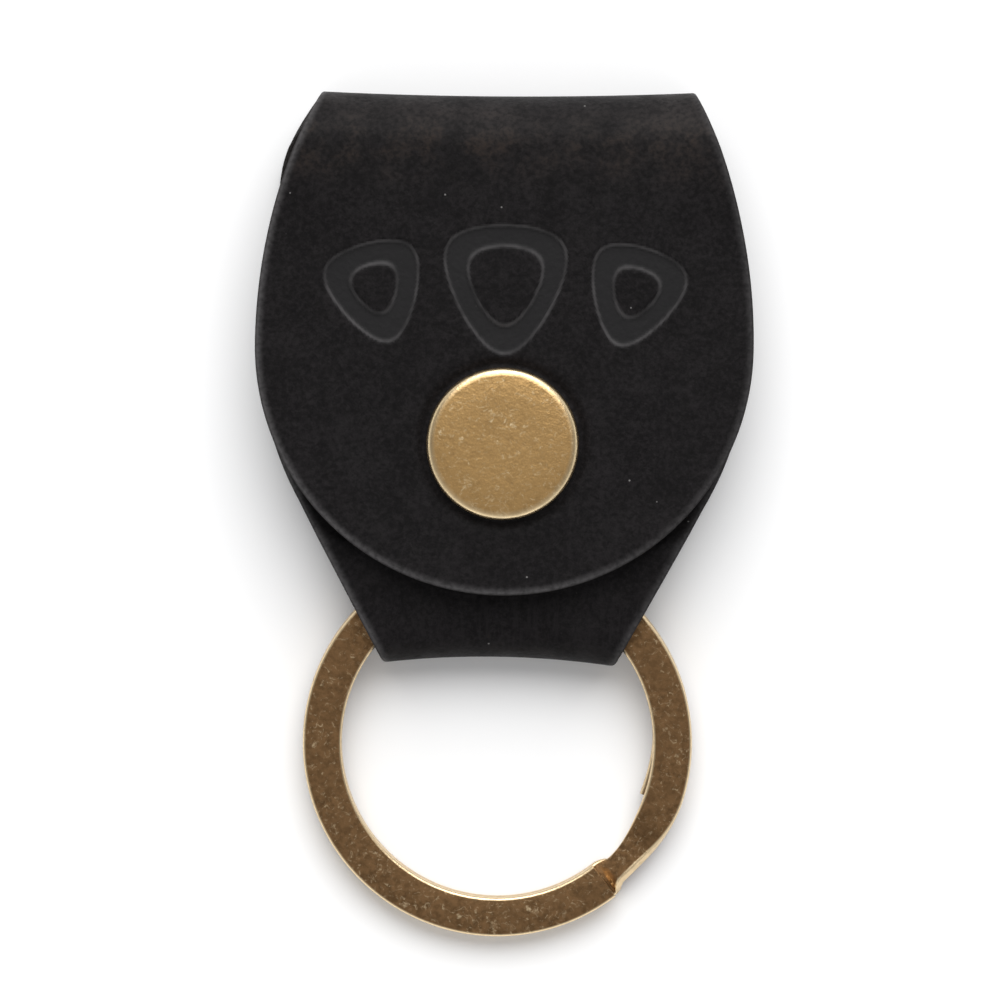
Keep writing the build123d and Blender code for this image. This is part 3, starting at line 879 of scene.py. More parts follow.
def leather_material(colours):
    """Black oiled hide: fine grain, rubbed at the fold, with a burnished rim and fibrous cut edges."""
    material, nodes, where = new_material("black_leather")
    if nodes is None:
        return material
    times, step, mix, noise = nodes.times, nodes.step, nodes.mix, nodes.noise
    layer, inset, motif_in = (nodes.value_of(name) for name in ("layer", "inset", "pressed"))
    across, along, _ = nodes.split(where)
    flesh = step(layer, -0.2, -0.95)
    cut = nodes.minus(1.0, step(nodes.math("ABSOLUTE", layer), 0.7, 0.99))
    raw = nodes.math("MAXIMUM", flesh, cut)

    bent = nodes.bent(where, 1.6 * MM, 0.5 * MM, 2.0)
    pebble = nodes.cells(bent, 0.42 * MM, feature="SMOOTH_F1").outputs["Distance"]
    pores = noise(where, 0.14 * MM, 3.0, 0.6)
    creases = noise(where, 2.4 * MM, 4.0, 0.62)
    patches = noise(where, 9 * MM, 3.0, 0.55)
    flecks = noise(bent, 0.4 * MM, 2.0, 0.55)
    fibres = noise(nodes.vector("MULTIPLY", where, (1.0, 0.35, 2.2)), 0.22 * MM, 4.0, 0.7)

    # the dyed grain, and the pressed motif with its paler walls, which are a painted highlight
    grain = nodes.math("MULTIPLY_ADD", creases, 0.45, times(pores, 0.5))
    grain = step(nodes.math("MULTIPLY_ADD", flecks, 0.75, grain), 0.66, 1.12)
    lighter = shade(colours.leather, 3.0)
    tone = mix(grain, tuple(colours.leather), lighter)
    tone = mix(times(motif_in, 0.8), tone, tuple(colours.leather_pressed))
    # Painted highlight on the motif's sloping walls, in the burnished rim's colour.
    wall_highlight = times(motif_in, nodes.minus(1.0, motif_in), step(creases, 0.3, 0.7, 1.2, 3.6))
    tone = mix(wall_highlight, tone, tuple(colours.leather_burnish_and_highlight))

    # wear: grey at the fold, brown below it, pale creases at the neck
    rub = times(
        step(along, *(TOP_Y - down for down in GREY_RUB)), step(patches, 0.30, 0.72),
        step(creases, 0.25, 0.65, 0.35, 1.0), step(flecks, 0.32, 0.66, 0.4, 1.15),
    )
    tone = mix(rub, tone, tuple(colours.leather_rubbed))
    below_top = nodes.minus(TOP_Y, along)
    brown = times(
        step(below_top, *BROWN_RUB[:2]), step(below_top, *reversed(BROWN_RUB[2:])),
        step(creases, 0.42, 0.66), step(flecks, 0.36, 0.70, 0.08, 0.42),
    )
    tone = mix(brown, tone, tuple(colours.leather_worn))
    pulled = noise(nodes.vector("MULTIPLY", where, (1.0, 0.16, 0.5)), 0.42 * MM, 3.0, 0.6)
    neck = step(along, *(TOP_Y - down for down in NECK_CREASES))
    tone = mix(times(step(pulled, 0.45, 0.68, 0.0, 0.8), neck, 0.8), tone, lighter)

    # burnished rim, and specks of lint
    rim = times(step(inset, *RIM_WIDTH), step(flecks, 0.2, 0.7, 0.5, 1.0), step(across, *RIM_RIGHT, 1.0, 0.5))
    tone = mix(rim, tone, tuple(colours.leather_burnish_and_highlight))
    lint = nodes.cells(where, 2.2 * MM)
    picked = nodes.add("ShaderNodeSeparateColor", {0: lint.outputs["Color"]}).outputs[0]
    dots = times(step(lint.outputs["Distance"], 0.05, 0.02), nodes.math("GREATER_THAN", picked, 0.6))
    tone = mix(dots, tone, LINT_COLOUR)

    # the rough flesh side and the cut edges
    rough_side = mix(step(fibres, 0.35, 0.68), shade(colours.leather_flesh, 0.35), tuple(colours.leather_flesh))
    tone = mix(nodes.math("MAXIMUM", flesh, times(cut, 0.75)), tone, rough_side)

    roughness = nodes.plus(step(creases, 0.3, 0.7, 0.62, 0.5), times(raw, 0.28))
    relief = nodes.plus(nodes.plus(times(pebble, 0.55), times(creases, 0.9)), times(pores, 0.35))
    normal = nodes.bump(relief, 0.07 * MM, strength=0.8)
    normal = nodes.bump(times(fibres, raw), 0.22 * MM, normal, 0.8)
    nodes.surface({"Base Color": tone, "Roughness": roughness, "Normal": normal}, **{"Specular IOR Level": 0.08})
    return material


def metal_material(name, base, wear_and_highlight_colour, grain_size, roughness, wear_and_highlight_share, contrast):
    """Aged metal: mottled, finely pitted, and bright on its edges, partly from wear and partly as a painted
    highlight.
    """
    material, nodes, where = new_material(name)
    if nodes is None:
        return material
    times, step, mix, noise = nodes.times, nodes.step, nodes.mix, nodes.noise
    mottle = noise(where, grain_size, 3.0, 0.6)
    patina = noise(where, 5 * grain_size, 3.0, 0.6)
    specks = noise(where, 0.3 * grain_size, 2.0, 0.5)
    streaks = noise(nodes.bent(where, 1.5 * MM, 3.0 * MM, 3.0), 0.45 * MM, 3.0, 0.65)
    tone = mix(step(mottle, 0.3, 0.7), shade(base, 1 - contrast), shade(base, 1 + contrast))
    tone = mix(step(streaks, 0.54, 0.78, 0.0, 0.5), tone, tuple(wear_and_highlight_colour))
    tone = mix(step(patina, 0.35, 0.75, 0.0, 0.45), tone, tuple(base))
    tone = mix(step(specks, 0.70, 0.80, 0.0, 0.55), tone, shade(base, 0.3))
    # Painted highlight: the worn colour on the edges is partly real wear and partly stands in for the rim's
    # highlight.
    rubbed_and_highlight = times(nodes.value_of("wear_and_highlight"), step(mottle, 0.15, 0.5, 0.7, 1.0), wear_and_highlight_share)
    tone = mix(rubbed_and_highlight, tone, tuple(wear_and_highlight_colour))
    gloss = nodes.minus(step(mottle, 0.3, 0.7, roughness + 0.06, roughness - 0.06), times(rubbed_and_highlight, 0.1))
    normal = nodes.bump(nodes.plus(mottle, times(specks, 0.5)), 0.03 * MM, strength=0.7)
    nodes.surface({"Base Color": tone, "Roughness": gloss, "Normal": normal}, Metallic=1.0)
    return material


def thread_material(colours):
    """Black waxed thread with fine fibres."""
    material, nodes, where = new_material("waxed_thread")
    if nodes is None:
        return material
    fibre = nodes.noise(where, 0.08 * MM, 3.0, 0.6)
    tone = nodes.mix(nodes.step(fibre, 0.45, 0.75), tuple(colours.thread), shade(colours.thread, 3.2))
    gloss = nodes.step(fibre, 0.3, 0.7, 0.42, 0.62)
    normal = nodes.bump(fibre, 0.03 * MM, strength=0.6)
    nodes.surface({"Base Color": tone, "Roughness": gloss, "Normal": normal})
    return material


# ---- geometry trees ----
def geometry_tree(name, inputs):
    """A tree with a geometry input and named sizes."""
    tree = bpy.data.node_groups.new(name, "GeometryNodeTree")
    tree.interface.new_socket(name="Geometry", in_out="INPUT", socket_type="NodeSocketGeometry")
    tree.interface.new_socket(name="Geometry", in_out="OUTPUT", socket_type="NodeSocketGeometry")
    for label, kind in inputs.items():
        tree.interface.new_socket(name=label, in_out="INPUT", socket_type=kind)
    nodes = Nodes(tree)
    return nodes, nodes.add("NodeGroupInput").outputs


def end_tree(nodes, geometry, material):
    """The end that every tree has: real geometry with its material."""
    real = nodes.add("GeometryNodeRealizeInstances", {0: geometry})
    done = nodes.add("GeometryNodeSetMaterial", {0: real.outputs[0], "Material": material})
    nodes.add("NodeGroupOutput", {0: done.outputs[0]})


def grown(name, source, tree, values, bevel=0.0):
    """The plain mesh that a geometry tree makes from a source mesh."""
    maker = linked(name + "_maker", source)
    modifier = maker.modifiers.new("shape", "NODES")
    modifier.node_group = tree
    for item in tree.interface.items_tree:
        if item.item_type == "SOCKET" and item.in_out == "INPUT" and item.name in values:
            modifier[item.identifier] = values[item.name]
    if bevel:
        rounding = maker.modifiers.new("rounding", "BEVEL")
        rounding.width = bevel
        rounding.segments = 2
        rounding.limit_method = "ANGLE"
        rounding.angle_limit = SHARP
    graph = bpy.context.evaluated_depsgraph_get()
    shaped = maker.evaluated_get(graph)
    mesh = bpy.data.meshes.new_from_object(shaped, preserve_all_data_layers=True, depsgraph=graph)
    mesh.name = name
    bpy.data.objects.remove(maker)
    if not mesh.polygons:
        raise RuntimeError(f"{name}: its tree made no faces")
    return linked(name, mesh)


RING_INPUTS = (
    "Radius", "Wire Width", "Wire Thickness", "Wire Edge", "Coil Gap", "Rear End", "Ramp Start", "Ramp End",
    "Front End", "Lean", "Inward Spring", "Roll", "Roll Slimming", "Side Wear And Highlight",
)
RING_POINTS = 520
ROLL_LEAD = 0.015               # radians before the ramp where the roll starts
ROLL_FULL, ROLL_FALLS = 0.13, 0.2       # shares of the ramp where it is full, and starts to fall
ROLL_TAIL = 0.12                # it ends this share of the ramp beyond the ramp
SPRING_ARC = 0.45               # radians of the rear coil's end that spring in
SHARP = radians(50)


def ring_line(nodes, given):
    """The wire's middle line, tilted where it rolls over, and how much it rolls."""
    times, plus, minus, step = nodes.times, nodes.plus, nodes.minus, nodes.step
    turn = 2 * pi
    index = nodes.add("GeometryNodeInputIndex").outputs[0]
    last = plus(given["Front End"], 2 * turn)
    values = {"Value": index, "From Min": 0.0, "From Max": RING_POINTS - 1.0,
              "To Min": given["Rear End"], "To Max": last}
    along = nodes.add("ShaderNodeMapRange", values).outputs[0]
    low, high = plus(given["Ramp Start"], turn), plus(given["Ramp End"], turn)
    pitch = times(plus(given["Wire Thickness"], given["Coil Gap"]), 0.5)
    height = step(along, low, high, times(pitch, -1.0), pitch)

    span = minus(high, low)
    full, falls = (nodes.math("MULTIPLY_ADD", span, part, low) for part in (ROLL_FULL, ROLL_FALLS))
    rising = step(along, minus(low, ROLL_LEAD), full)
    falling = step(along, falls, nodes.math("MULTIPLY_ADD", span, ROLL_TAIL, high), 1.0, 0.0)
    rolled = times(rising, falling)
    height = times(height, minus(1.0, rolled))
    spring = step(along, given["Rear End"], plus(given["Rear End"], SPRING_ARC), 1.0, 0.0)
    middle = nodes.math("MULTIPLY_ADD", given["Wire Width"], -0.5, given["Radius"])
    radius = minus(middle, times(spring, given["Inward Spring"]))
    x, y = (times(radius, nodes.math(wave, along)) for wave in ("COSINE", "SINE"))

    line = nodes.add("GeometryNodeMeshLine", {"Count": RING_POINTS}).outputs[0]
    wire = nodes.add("GeometryNodeMeshToCurve", {0: line}).outputs[0]
    place = nodes.joined(x, y, height)
    wire = nodes.add("GeometryNodeSetPosition", {0: wire, "Position": place}).outputs[0]
    wire = nodes.add("GeometryNodeSetCurveNormal", {0: wire}, mode="Z_UP").outputs[0]
    tilt = times(rolled, times(given["Roll"], -1.0))
    return nodes.add("GeometryNodeSetCurveTilt", {0: wire, "Tilt": tilt}).outputs[0], rolled


def ring_section(nodes, given):
    """The flat wire's section, with its corners and sides marked for the worn colour, which is partly wear and
    partly painted highlight.
    """
    times, absolute = nodes.times, lambda value: nodes.math("ABSOLUTE", value)
    sides = {"Width": given["Wire Width"], "Height": given["Wire Thickness"]}
    box = nodes.add("GeometryNodeCurvePrimitiveQuadrilateral", sides).outputs[0]
    corners = {0: box, "Count": 4, "Radius": given["Wire Edge"]}
    section = nodes.add("GeometryNodeFilletCurve", corners, mode="POLY").outputs[0]
    at = nodes.split(nodes.add("GeometryNodeInputPosition").outputs[0])
    corner = []
    for axis, size in ((0, "Wire Width"), (1, "Wire Thickness")):
        start = nodes.math("MULTIPLY_ADD", given[size], 0.5, times(given["Wire Edge"], -1.0))
        corner.append(nodes.minus(absolute(at[axis]), start))
    wear_and_highlight = nodes.math("DIVIDE", nodes.math("MINIMUM", *corner), times(given["Wire Edge"], 0.7))
    wear_and_highlight = nodes.add("ShaderNodeClamp", {0: wear_and_highlight}).outputs[0]
    # The sides' share is partly wear and partly painted highlight.
    side = nodes.math("GREATER_THAN", absolute(at[0]), times(given["Wire Width"], 0.499))
    wear_and_highlight = nodes.math("MAXIMUM", wear_and_highlight, times(side, given["Side Wear And Highlight"]))
    marked = {0: section, "Name": "wear_and_highlight", "Value": wear_and_highlight}
    return nodes.add("GeometryNodeStoreNamedAttribute", marked).outputs[0]


def ring_tree(material):
    """Split ring: one flat wire, wound from the rear coil up a ramp to the front coil."""
    kinds = {label: "NodeSocketFloat" for label in RING_INPUTS}
    nodes, given = geometry_tree("split_ring", {**kinds, "Centre": "NodeSocketVector"})
    wire, rolled = ring_line(nodes, given)
    slimming = nodes.times(rolled, given["Roll Slimming"])
    swept = {0: wire, 1: ring_section(nodes, given), "Scale": nodes.minus(1.0, slimming), "Fill Caps": True}
    solid = nodes.add("GeometryNodeCurveToMesh", swept).outputs[0]
    edge_angle = nodes.add("GeometryNodeInputMeshEdgeAngle").outputs[0]
    creased = {0: solid, "Selection": nodes.math("GREATER_THAN", edge_angle, SHARP), "Shade Smooth": False}
    solid = nodes.add("GeometryNodeSetShadeSmooth", creased, domain="EDGE").outputs[0]
    lean = nodes.add("ShaderNodeCombineXYZ", {0: given["Lean"]}).outputs[0]
    euler = nodes.add("FunctionNodeEulerToRotation", {0: lean}).outputs[0]
    placed = {0: solid, "Translation": given["Centre"], "Rotation": euler}
    end_tree(nodes, nodes.add("GeometryNodeTransform", placed).outputs[0], material)
    return nodes.tree


def build_ring(sizes, colours):
    """The split ring."""
    bronze = metal_material("aged_bronze", colours.bronze, colours.bronze_wear_and_highlight, 0.55 * MM, 0.40, 0.95, 0.34)
    values = {
        "Radius": RING_RADIUS,
        "Wire Width": sizes.wire_width,
        "Wire Thickness": sizes.wire_thick,
        "Wire Edge": sizes.wire_edge,
        "Coil Gap": sizes.coil_gap,
        "Rear End": sizes.rear_end,
        "Ramp Start": sizes.ramp_low,
        "Ramp End": sizes.ramp_high,
        "Front End": sizes.front_end,
        "Lean": RING_LEAN,
        "Inward Spring": sizes.inward_spring,
        "Roll": sizes.wire_roll,
        "Roll Slimming": sizes.wire_slimming,
        "Side Wear And Highlight": sizes.side_wear_and_highlight,
        "Centre": RING_CENTRE,
    }
    source = bpy.data.meshes.new("ring_source")
    piece = grown("split_ring", source, ring_tree(bronze), values, bevel=sizes.wire_bevel)
    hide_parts("key_ring")
    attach(piece, "key_ring")


STITCH_INPUTS = ("Thread", "Front Height", "Rear Height", "Dip", "Twists")
STRAND_SHARE = 0.46             # radius of the thread's section, as a share of its thickness
LOBE_DEPTH = 0.12               # how far its three strands stand out
HALF_SPAN = 0.49                # half a stitch, as a share of the span between two holes


def stitch_tree(material):
    """A row of thread: one arched stitch on each side of every span, and a thread through every hole."""
    kinds = {label: "NodeSocketFloat" for label in STITCH_INPUTS}
    nodes, given = geometry_tree("stitches", kinds)
    times, plus, minus, point = nodes.times, nodes.plus, nodes.minus, nodes.joined

    circle = {"Resolution": 15, "Radius": times(given["Thread"], STRAND_SHARE)}
    round_line = nodes.add("GeometryNodeCurvePrimitiveCircle", circle).outputs[0]
    place = nodes.add("GeometryNodeInputPosition").outputs[0]
    at = nodes.split(place)
    around = nodes.math("ARCTAN2", at[1], at[0])
    lobes = nodes.math("MULTIPLY_ADD", nodes.math("COSINE", times(around, 3.0)), LOBE_DEPTH, 1.0)
    lobed = nodes.add("ShaderNodeVectorMath", {0: place, "Scale": lobes}, operation="SCALE").outputs[0]
    section = nodes.add("GeometryNodeSetPosition", {0: round_line, "Position": lobed}).outputs[0]

    def strand(start, middle, end, twist):
        """A twisted strand along a bent line."""
        line = nodes.add("GeometryNodeCurveQuadraticBezier", {"Resolution": 22, 1: start, 2: middle, 3: end})
        factor = nodes.add("GeometryNodeSplineParameter").outputs[0]
        turned = times(factor, times(given["Twists"], twist * 2 * pi))
        curve = nodes.add("GeometryNodeSetCurveNormal", {0: line.outputs[0]}, mode="MINIMUM_TWIST").outputs[0]
        curve = nodes.add("GeometryNodeSetCurveTilt", {0: curve, "Tilt": turned}).outputs[0]
        return nodes.add("GeometryNodeCurveToMesh", {0: curve, 1: section, "Fill Caps": True}).outputs[0]

    ends = nodes.add("GeometryNodeInputMeshEdgeVertices").outputs
    span = nodes.vector("SUBTRACT", ends["Position 2"], ends["Position 1"])
    capture = nodes.add("GeometryNodeCaptureAttribute", domain="EDGE")
    capture.capture_items.new("VECTOR", "span")
    nodes.tree.links.new(given["Geometry"], capture.inputs[0])
    nodes.tree.links.new(span, capture.inputs[1])
    spots = nodes.add("GeometryNodeMeshToPoints", {0: capture.outputs[0]}, mode="EDGES").outputs[0]
    turn = nodes.add("FunctionNodeAlignRotationToVector", {"Vector": capture.outputs[1]}, axis="X").outputs[0]
    scale = point(nodes.vector("LENGTH", capture.outputs[1], output=1), 1.0, 1.0)

    made = []
    for height, side in ((given["Front Height"], -1.0), (given["Rear Height"], 1.0)):
        low = nodes.math("MULTIPLY_ADD", given["Dip"], side, height)
        peak = nodes.math("MULTIPLY_ADD", given["Dip"], -side, height)
        one = strand(point(-HALF_SPAN, 0.0, low), point(0.0, 0.0, peak), point(HALF_SPAN, 0.0, low), 1.0)
        values = {0: spots, "Instance": one, "Rotation": turn, "Scale": scale}
        made.append(nodes.add("GeometryNodeInstanceOnPoints", values).outputs[0])
    middle = times(plus(given["Front Height"], given["Rear Height"]), 0.5)
    top, foot = minus(given["Front Height"], given["Dip"]), plus(given["Rear Height"], given["Dip"])
    through = strand(point(0.0, 0.0, foot), point(0.0, 0.0, middle), point(0.0, 0.0, top), 0.6)
    made.append(nodes.add("GeometryNodeInstanceOnPoints", {0: given["Geometry"], "Instance": through}).outputs[0])
    joined = nodes.add("GeometryNodeJoinGeometry")
    for part in made:
        nodes.tree.links.new(part, joined.inputs[0])
    end_tree(nodes, joined.outputs[0], material)
    return nodes.tree


STITCH_FRONT = -0.06 * MM       # front stitches' height over the two layers of leather
STITCH_REAR = 0.13 * MM         # rear stitches' height over the floor, beyond half a thread
STITCH_DIP = 0.22 * MM
STITCH_TWISTS = 2.5


def build_stitches(sizes, colours):
    """Both rows of stitching."""
    outline = Outline(sizes)
    tree = stitch_tree(thread_material(colours))
    values = {
        "Thread": sizes.thread,
        "Front Height": 2 * LEATHER + STITCH_FRONT,
        "Rear Height": 0.52 * sizes.thread + STITCH_REAR,
        "Dip": STITCH_DIP,
        "Twists": STITCH_TWISTS,
    }
    for side, name in ((-1, "left_stitching"), (1, "right_stitching")):
        holes = stitch_holes(side, outline, sizes)
        source = bpy.data.meshes.new(name + "_holes")
        spans = [(i, i + 1) for i in range(len(holes) - 1)]
        source.from_pydata([(x, y, 0) for x, y in holes], spans, [])
        piece = grown(name + "_thread", source, tree, values)
        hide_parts(name)
        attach(piece, "holder")


# ---- turned metal parts ----
def rounded(points, radii, steps=5):
    """A closed profile with rounded corners, and how strongly each of its points takes the worn colour, which is
    partly wear and partly painted highlight.
    """
    line, wear_and_highlight = [], []
    count = len(points)
    for i, radius in enumerate(radii):
        before, here, after = (np.array(points[(i + k) % count], float) for k in (-1, 0, 1))
        if radius == 0:
            line.append(tuple(here))
            wear_and_highlight.append(0.0)
            continue
        first = here + (before - here) / np.linalg.norm(before - here) * radius
        last = here + (after - here) / np.linalg.norm(after - here) * radius
        for share in np.linspace(0, 1, steps + 1):
            spot = (1 - share) ** 2 * first + 2 * share * (1 - share) * here + share**2 * last
            line.append(tuple(spot))
            wear_and_highlight.append(sin(pi * share) ** 2)
    return line, wear_and_highlight


LATHE_STEPS = 160
LATHE_SHARP = radians(40)


def lathed(name, points, radii, material, body, node):
    """A turned or pressed part about the snap's axis, from its closed profile of radius and height."""
    profile, wear_and_highlight = rounded(points, radii)
    co, marks, rings = [], [], []
    for (radius, height), mark in zip(profile, wear_and_highlight):
        start = len(co)
        if radius < 1e-7:
            co.append((0, SNAP_Y, height))
            marks.append(mark)
            rings.append([start] * LATHE_STEPS)
            continue
        for turn in np.linspace(0, 2 * pi, LATHE_STEPS, endpoint=False):
            co.append((radius * cos(turn), SNAP_Y + radius * sin(turn), height))
            marks.append(mark)
        rings.append(list(range(start, start + LATHE_STEPS)))
    faces = []
    for low, high in zip(rings, rings[1:] + rings[:1]):
        for i in range(LATHE_STEPS):
            j = (i + 1) % LATHE_STEPS
            face = list(dict.fromkeys((low[i], low[j], high[j], high[i])))
            if len(face) > 2:
                faces.append(face)

    def finish(work):
        """Sharp where the profile turns a corner."""
        for line in work.edges:
            line.smooth = line.calc_face_angle(0) < LATHE_SHARP

    mesh = solid_mesh(name, co, faces, finish)
    write_values(mesh, "wear_and_highlight", marks)
    snap_piece(linked(name, mesh), material, node, body)


def snap_piece(piece, material, node, body):
    """Gives a piece of the snap its material and its body, and hides the frame's part that it stands for."""
    add_surface(piece, material)
    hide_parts(node)
    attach(piece, body)


CROWN = 0.04 * MM               # how much higher the cap is in its middle
CAP_LIP = 0.9 * MM              # width of the cap's edge where it is turned under
CAP_ROUND = 0.72 * MM
BARREL = 1.7 * MM               # outside radius of the post's and the eyelet's barrels
SOFT = 0.1 * MM                 # rounding of a pressed edge, at the least
SLACK = SOFT / 2                # pressed parts to the barrel that they sit on
MOUTH_CLEAR = 0.35 * MM         # socket's mouth to the stud's head
HEAD_GRIP = 0.1 * MM            # how far the stud's head is larger than the spring's inside
NECK_STEP = 0.3 * MM            # head to neck
WAIST_CLEAR = 0.1 * MM          # spring to where the head starts
SPRING_OPEN = radians(40)
SPRING_BENDS, SPRING_ROUND = 72, 16     # points along the spring's wire, and round it


def build_snap(colours):
    """The snap fastener: cap, post and socket on the flap, stud and eyelet on the pocket."""
    brass = metal_material("aged_brass", colours.brass, colours.brass_wear_and_highlight, 0.6 * MM, 0.36, 0.65, 0.24)
    steel = metal_material("spring_steel", colours.steel, colours.steel, 0.3 * MM, 0.3, 0.0, 0.1)
    bore = BARREL - METAL
    head = spring_high.x - (spring_high.z - spring_low.z) + HEAD_GRIP
    neck = head - NECK_STEP
    hollow = neck - METAL

    def part(name, node, body, *profile):
        """A turned part, from the radius, height and rounding of each corner."""
        points, radii = [corner[:2] for corner in profile], [corner[2] for corner in profile]
        lathed(name, points, radii, brass, body, node)

    radius, top = cap_high.x, cap_high.z
    lip, low = radius - CAP_LIP, FLAP_TOP + METAL
    part(
        "snap_cap_brass", "snap_cap", "flap",
        (0, top, 0), (0.5 * radius, top - 0.2 * CROWN, 0), (radius, top - CROWN, CAP_ROUND),
        (radius, FLAP_TOP, METAL * 0.9), (lip, FLAP_TOP, SOFT), (lip, low, 0), (radius - METAL, low, 0),
        (radius - METAL, top - METAL, METAL), (0, top - METAL, 0),
    )
    disc, end = post_high.x, post_low.z
    part(
        "snap_post_brass", "snap_cap_post", "flap",
        (0, low + METAL, 0), (disc, low + METAL, SOFT), (disc, low, SOFT), (BARREL, low, 0),
        (BARREL, end + METAL, 0), (BARREL + METAL, end + METAL, SOFT), (BARREL + METAL, end, 1.5 * SOFT),
        (bore, end, 2 * SOFT), (bore, low, 0), (0, low, 0),
    )
    wall, foot, mouth = socket_high.x - METAL, socket_low.z, head + MOUTH_CLEAR
    part(
        "snap_socket_brass", "snap_socket", "flap",
        (BARREL + SLACK, FLAP_UNDER, 0), (socket_high.x, FLAP_UNDER, 3 * SOFT), (socket_high.x, foot, 4 * SOFT),
        (mouth, foot, 1.5 * SOFT), (mouth, foot + METAL, 1.5 * SOFT), (wall, foot + METAL, SOFT),
        (wall, FLAP_UNDER - METAL, SOFT), (BARREL + SLACK, FLAP_UNDER - METAL, 0),
    )
    base, top = stud_low.z, stud_high.z
    waist = spring_high.z + WAIST_CLEAR
    part(
        "snap_stud_brass", "snap_stud", "holder",
        (BARREL + SLACK, base, 0), (stud_high.x, base, 1.2 * SOFT), (stud_high.x, base + METAL, 1.5 * SOFT),
        (neck, base + METAL, SOFT), (neck, waist, SOFT), (head, (waist + top) / 2, 2 * SOFT),
        (neck, top, 4 * SOFT), (0, top, 0), (0, top - METAL / 2, 0), (hollow, top - METAL / 2, SOFT),
        (hollow, base + METAL, SOFT), (BARREL + SLACK, base + METAL, 0),
    )
    rim, end = eyelet_high.x, eyelet_high.z
    part(
        "snap_eyelet_brass", "snap_eyelet", "holder",
        (bore, eyelet_low.z, 2 * SOFT), (rim, eyelet_low.z, SOFT), (rim, POCKET_UNDER, SOFT),
        (BARREL, POCKET_UNDER, 0), (BARREL, POCKET_TOP + METAL, 0), (hollow - SLACK, POCKET_TOP + METAL, 0),
        (hollow - SLACK, end, SOFT / 2), (bore, end, SOFT),
    )
    build_spring(steel)


def build_spring(steel):
    """Open ring of round wire that grips the stud's neck."""
    wire = spring_high.z - spring_low.z
    radius = spring_high.x - wire / 2
    height = (spring_high.z + spring_low.z) / 2
    co, faces = [], []
    for turn in np.linspace(pi / 2 + SPRING_OPEN / 2, 5 * pi / 2 - SPRING_OPEN / 2, SPRING_BENDS):
        for a in np.linspace(0, 2 * pi, SPRING_ROUND, endpoint=False):
            out = radius + wire / 2 * cos(a)
            co.append((out * cos(turn), SNAP_Y + out * sin(turn), height + wire / 2 * sin(a)))
    starts = [i * SPRING_ROUND for i in range(SPRING_BENDS)]
    for low, high in zip(starts, starts[1:]):
        for k in range(SPRING_ROUND):
            m = (k + 1) % SPRING_ROUND
            faces.append((low + k, high + k, high + m, low + m))
    faces.append(tuple(reversed(range(SPRING_ROUND))))
    faces.append(tuple(starts[-1] + k for k in range(SPRING_ROUND)))

    def finish(work):
        """The wire's cut ends are flat."""
        for face in work.faces:
            face.smooth = len(face.verts) == 4

    mesh = solid_mesh("snap_spring_wire", co, faces, finish)
    write_values(mesh, "wear_and_highlight", np.zeros(len(co)))
    snap_piece(linked("snap_spring_wire", mesh), steel, "snap_spring", "flap")


# ---- floor, light and camera ----
FRAME_WIDTH = 82.05 * MM           # width of what the camera sees, at the object
CAMERA_LENS = 400.0
CAMERA_CENTRE = (-0.13 * MM, 1.22 * MM)
CAMERA_ROLL = 1.0
CAMERA_AIM_HEIGHT = 5 * MM
FLOOR_HALF_WIDTH = 3.0
FLOOR_DROP = 0.02 * MM          # keeps the floor clear of the leather's underside
HORIZON, OVERHEAD = (1.0, 1.0, 1.0, 1), (0.3, 0.3, 0.305, 1)
# Each lamp: name, strength, tilt about X and Y in degrees, and how wide it is in degrees.
LAMPS = (("key_light", 3.25, -44, 4, 60), ("fill_light", 0.5, 48, -4, 90))


def build_floor(colours):
    """Wide pale floor under the holder."""
    mesh = bpy.data.meshes.new("floor")
    signs = ((-1, -1), (1, -1), (1, 1), (-1, 1))
    corners = [(i * FLOOR_HALF_WIDTH, j * FLOOR_HALF_WIDTH, -FLOOR_DROP) for i, j in signs]
    mesh.from_pydata(corners, [], [(0, 1, 2, 3)])
    floor = linked("floor", mesh)
    material, nodes, where = new_material("pale_floor")
    soft = nodes.noise(where, 40 * MM, 2.0)
    tone = nodes.mix(soft, tuple(colours.floor), shade(colours.floor, 0.99))
    nodes.surface({"Base Color": tone}, Roughness=0.9, **{"Specular IOR Level": 0.0})
    add_surface(floor, material)


def build_world():
    """Even white surroundings, brighter near the horizon than overhead."""
    world = bpy.data.worlds.new("studio")
    world.use_nodes = True
    nodes = Nodes(world.node_tree)
    ray = nodes.add("ShaderNodeTexCoord").outputs["Generated"]
    tone = nodes.mix(nodes.step(nodes.split(ray)[2], 0.08, 0.65), HORIZON, OVERHEAD)
    light = nodes.add("ShaderNodeBackground", {"Color": tone, "Strength": 1.0})
    nodes.add("ShaderNodeOutputWorld", {0: light.outputs[0]})
    bpy.context.scene.world = world


def build_lights():
    """A wide soft light from beyond the top fold, and a weaker one from the ring's side."""
    for name, energy, tilt_x, tilt_y, spread in LAMPS:
        lamp = bpy.data.lights.new(name, "SUN")
        lamp.energy = energy
        lamp.angle = radians(spread)
        linked(name, lamp).rotation_euler = (radians(tilt_x), radians(tilt_y), 0)


def build_camera():
    """Long lens, straight down on the holder."""
    lens = bpy.data.cameras.new("camera")
    lens.lens = CAMERA_LENS
    camera = linked("camera", lens)
    distance = FRAME_WIDTH * lens.lens / lens.sensor_width
    camera.location = (*CAMERA_CENTRE, CAMERA_AIM_HEIGHT + distance)
    camera.rotation_euler = (0, 0, radians(CAMERA_ROLL))
    lens.clip_start = 0.05
    lens.clip_end = 20
    bpy.context.scene.camera = camera
    bpy.context.scene.view_settings.view_transform = "Standard"


# ---- operators ----
class BuildStep(bpy.types.Operator):
    """One step of building the holder."""

    bl_options = {"REGISTER", "UNDO"}

    def sizes(self, context):
        return context.scene.holder_sizes

    def colours(self, context):
        return context.scene.holder_colours


